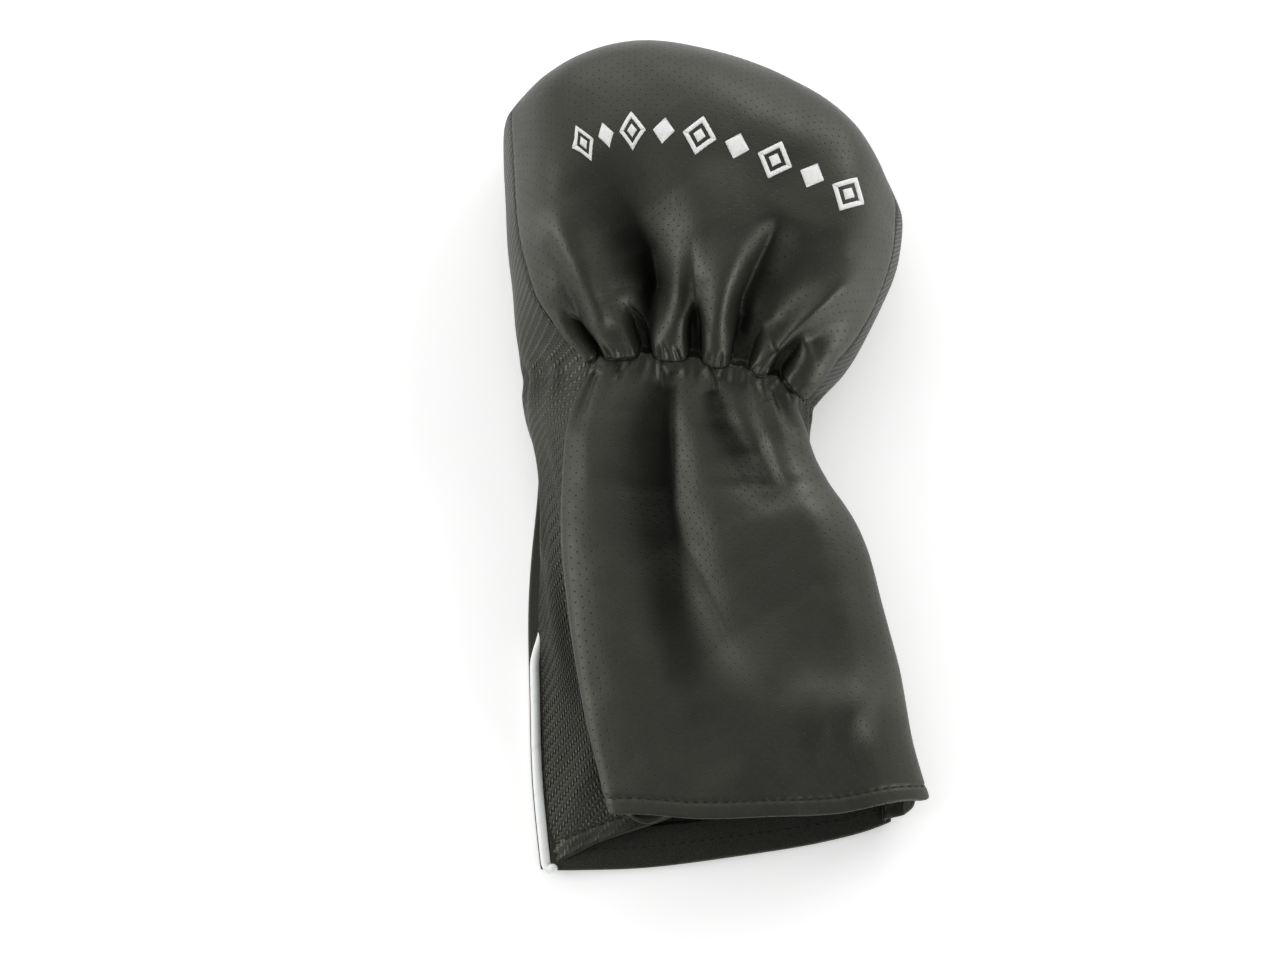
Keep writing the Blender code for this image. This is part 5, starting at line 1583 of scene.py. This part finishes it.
def stitched_patch(place, shape, height, lean, base):
    """One satin-stitched shape, as points, faces and uv.

    place is its share of the arc, shape its (along, low, high) rows in the arc's frame, lean the
    turn of its threads and base the number of its first point.
    """
    along, low, high = shape
    cross = np.linspace(0, 1, 9)
    centre, normal = frame_on_arc(place + along / EMBLEM_LENGTH)
    level = low[:, None] + (high - low)[:, None] * cross[None]
    plan = centre[:, None] + normal[:, None] * level[..., None]
    points, out = on_front(plan[..., 0], plan[..., 1])
    # domed across, and lower where the shape is narrow
    dome = height * (np.sin(math.pi * cross) ** 0.5)[None]
    thick = dome * np.clip((high - low) / 1.2, 0.25, 1)[:, None]
    top = points + out * (0.10 + thick)[..., None]
    bottom = points - out * 0.25
    rows, cols = top.shape[:2]
    i, j = border(rows, cols)
    ring = base + i * cols + j
    faces = [grid_faces(rows, cols, base), grid_faces(rows, cols, base + rows * cols, flip=True),
             ring_faces(ring, ring + rows * cols)[:, ::-1]]
    run = np.repeat(along[:, None], cols, 1)
    uv = np.stack([run * math.cos(lean) + level * math.sin(lean),
                   level * math.cos(lean) - run * math.sin(lean)], axis=-1).reshape(-1, 2)
    return (np.concatenate([top.reshape(-1, 3), bottom.reshape(-1, 3)]),
            np.concatenate(faces), np.concatenate([uv, uv]))


def emblem():
    """Nine diamonds along an arc: large open ones round a solid one, and smaller solid ones."""
    steps = np.linspace(-1, 1, 25)
    taper = 1 - np.abs(steps)

    def solid(half_width, half_height, margin):
        edge = half_height * taper + margin
        return steps * half_width, -edge, edge

    width, tall = LARGE_HALF
    outer = tall * taper + 0.2
    hollow = np.maximum(0.0, tall * taper - tall * BAR_SHARE)
    # shape, height, lean of the threads
    large = [((steps * width, hollow, outer), 0.55, 0.5),
             ((steps * width, -outer, -hollow), 0.55, -0.5),
             (solid(width * CENTRE_SHARE, tall * CENTRE_SHARE, margin=0.1), 0.6, -0.4)]
    small = [(solid(*SMALL_HALF, margin=0.18), 0.6, 0.35)]
    patches, base = [], 0
    for k in range(DIAMONDS):
        place = 0.035 + 0.93 * k / (DIAMONDS - 1)
        for shape, height, lean in (small if k % 2 else large):
            patches.append(stitched_patch(place, shape, height, lean, base))
            base += len(patches[-1][0])
    add_piece("emblem_embroidery", "white_embroidery", ["emblem"],
              *(np.concatenate(part) for part in zip(*patches)))


def neck_elastic():
    """The elastic and its thread are kept from the part and only given materials."""
    for name, slot in (("neck_elastic", "elastic_webbing"), ("elastic_thread", "black_thread")):
        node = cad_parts[name]
        node.data.materials.clear()
        node.data.materials.append(MATERIALS[slot])


# ---------------------------------------------------------------- floor, lights and camera
def floor():
    half, z = 6.0, -0.0006     # metres
    mesh = bpy.data.meshes.new("floor")
    mesh.from_pydata([(-half, -half, z), (half, -half, z), (half, half, z), (-half, half, z)],
                     [], [(0, 1, 2, 3)])
    nodes = Material("floor")
    point = nodes.position("ShaderNodeNewGeometry", "Position")
    paper = nodes.noise(point, scale=0.9, detail=3.0, rough=0.6)
    nodes.bump(paper * 0.02, strength=0.4)
    colour = nodes.mix(paper, (0.93, 0.93, 0.925, 1.0), (0.96, 0.96, 0.955, 1.0))
    mesh.materials.append(nodes.finish(colour, roughness=0.6, Specular_IOR_Level=0.25,
                                       Emission_Color=grey(1.0), Emission_Strength=0.28))
    piece = bpy.data.objects.new("floor", mesh)
    bpy.context.scene.collection.objects.link(piece)


LIGHT_AIM = (0.0, 0.0, 0.03)
# Rectangular lights: name, place in metres, width and height in metres, watts
LIGHTS = [
    ("side_left", (-1.25, -0.15, 0.62), (0.8, 0.6), 7.0),
    ("side_right", (0.95, 1.05, 0.75), (1.0, 0.7), 9.0),
    ("front_right", (1.15, -0.75, 0.50), (0.7, 0.5), 7.0),
    ("crown_side", (-0.10, 1.35, 0.70), (1.2, 0.7), 4.5),
]


def lights():
    for name, place, size, power in LIGHTS:
        light = bpy.data.lights.new(name, "AREA")
        light.shape = "RECTANGLE"
        light.size, light.size_y = size
        light.energy = power
        lamp = bpy.data.objects.new(name, light)
        lamp.location = place
        aim = Vector(LIGHT_AIM) - Vector(place)
        lamp.rotation_euler = aim.to_track_quat("-Z", "Y").to_euler()
        bpy.context.scene.collection.objects.link(lamp)


def studio():
    """A light tent: bright walls low down all round and a roof, dimmer towards +X and -Y."""
    world = bpy.data.worlds.new("studio")
    bpy.context.scene.world = world
    world.use_nodes = True
    nodes = Nodes(world.node_tree)
    where = Output(nodes, nodes.add("ShaderNodeTexCoord").outputs["Generated"])

    def towards(azimuth, elevation=0.0):
        """How far a ray points this way, -1..1; angles in degrees."""
        turn, rise = math.radians(azimuth), math.radians(elevation)
        node = nodes.add("ShaderNodeVectorMath", operation="DOT_PRODUCT")
        nodes.put(where, node.inputs[0])
        nodes.put((math.cos(rise) * math.cos(turn), math.cos(rise) * math.sin(turn),
                   math.sin(rise)), node.inputs[1])
        return Output(nodes, node.outputs["Value"])

    x, y, height = towards(0), towards(90), towards(0, 90)
    low = nodes.ramp(height, low=0.30, high=0.55, to_low=1.0, to_high=0.0)
    roof = nodes.math("MAXIMUM",
                      nodes.ramp(y, low=-0.30, high=0.40, to_low=0.22, to_high=0.86)
                      + nodes.ramp(x, low=-0.75, high=-0.20, to_low=0.20, to_high=0.0)
                      + nodes.ramp(x, low=0.12, high=0.62, to_low=0.0, to_high=-0.50), 0.02)
    walls = (0.62 + nodes.ramp(towards(180), low=0.55, high=0.92, to_high=0.25)
             + nodes.ramp(towards(315), low=0.55, high=0.92, to_high=0.35)
             + nodes.ramp(y, low=0.30, high=0.80, to_high=0.35))
    background = nodes.tree.nodes["Background"]
    nodes.put(grey(1.0), background.inputs[0])
    nodes.put(walls * low + roof * (1.0 - low), background.inputs[1])


def camera():
    """Looks down on the cover, tilted from straight above towards the hem."""
    tilt, distance = math.radians(12.0), 1250.0
    target = np.array([-32.0, -11.0, 25.0])
    eye = target + distance * np.array([0.0, -math.sin(tilt), math.cos(tilt)])
    data = bpy.data.cameras.new("camera")
    data.lens = 85.0
    data.sensor_width = 36.0
    data.clip_start = 0.05
    data.clip_end = 20.0
    viewer = bpy.data.objects.new("camera", data)
    viewer.location = to_frame(eye)
    viewer.rotation_euler = (tilt, 0.0, 0.0)
    scene = bpy.context.scene
    scene.collection.objects.link(viewer)
    scene.camera = viewer
    scene.view_settings.view_transform = "Standard"
    scene.view_settings.look = "None"


panels()
piping()
padding_and_linings()
hem_facings()
hem_stitching()
emblem()
neck_elastic()
floor()
lights()
studio()
camera()
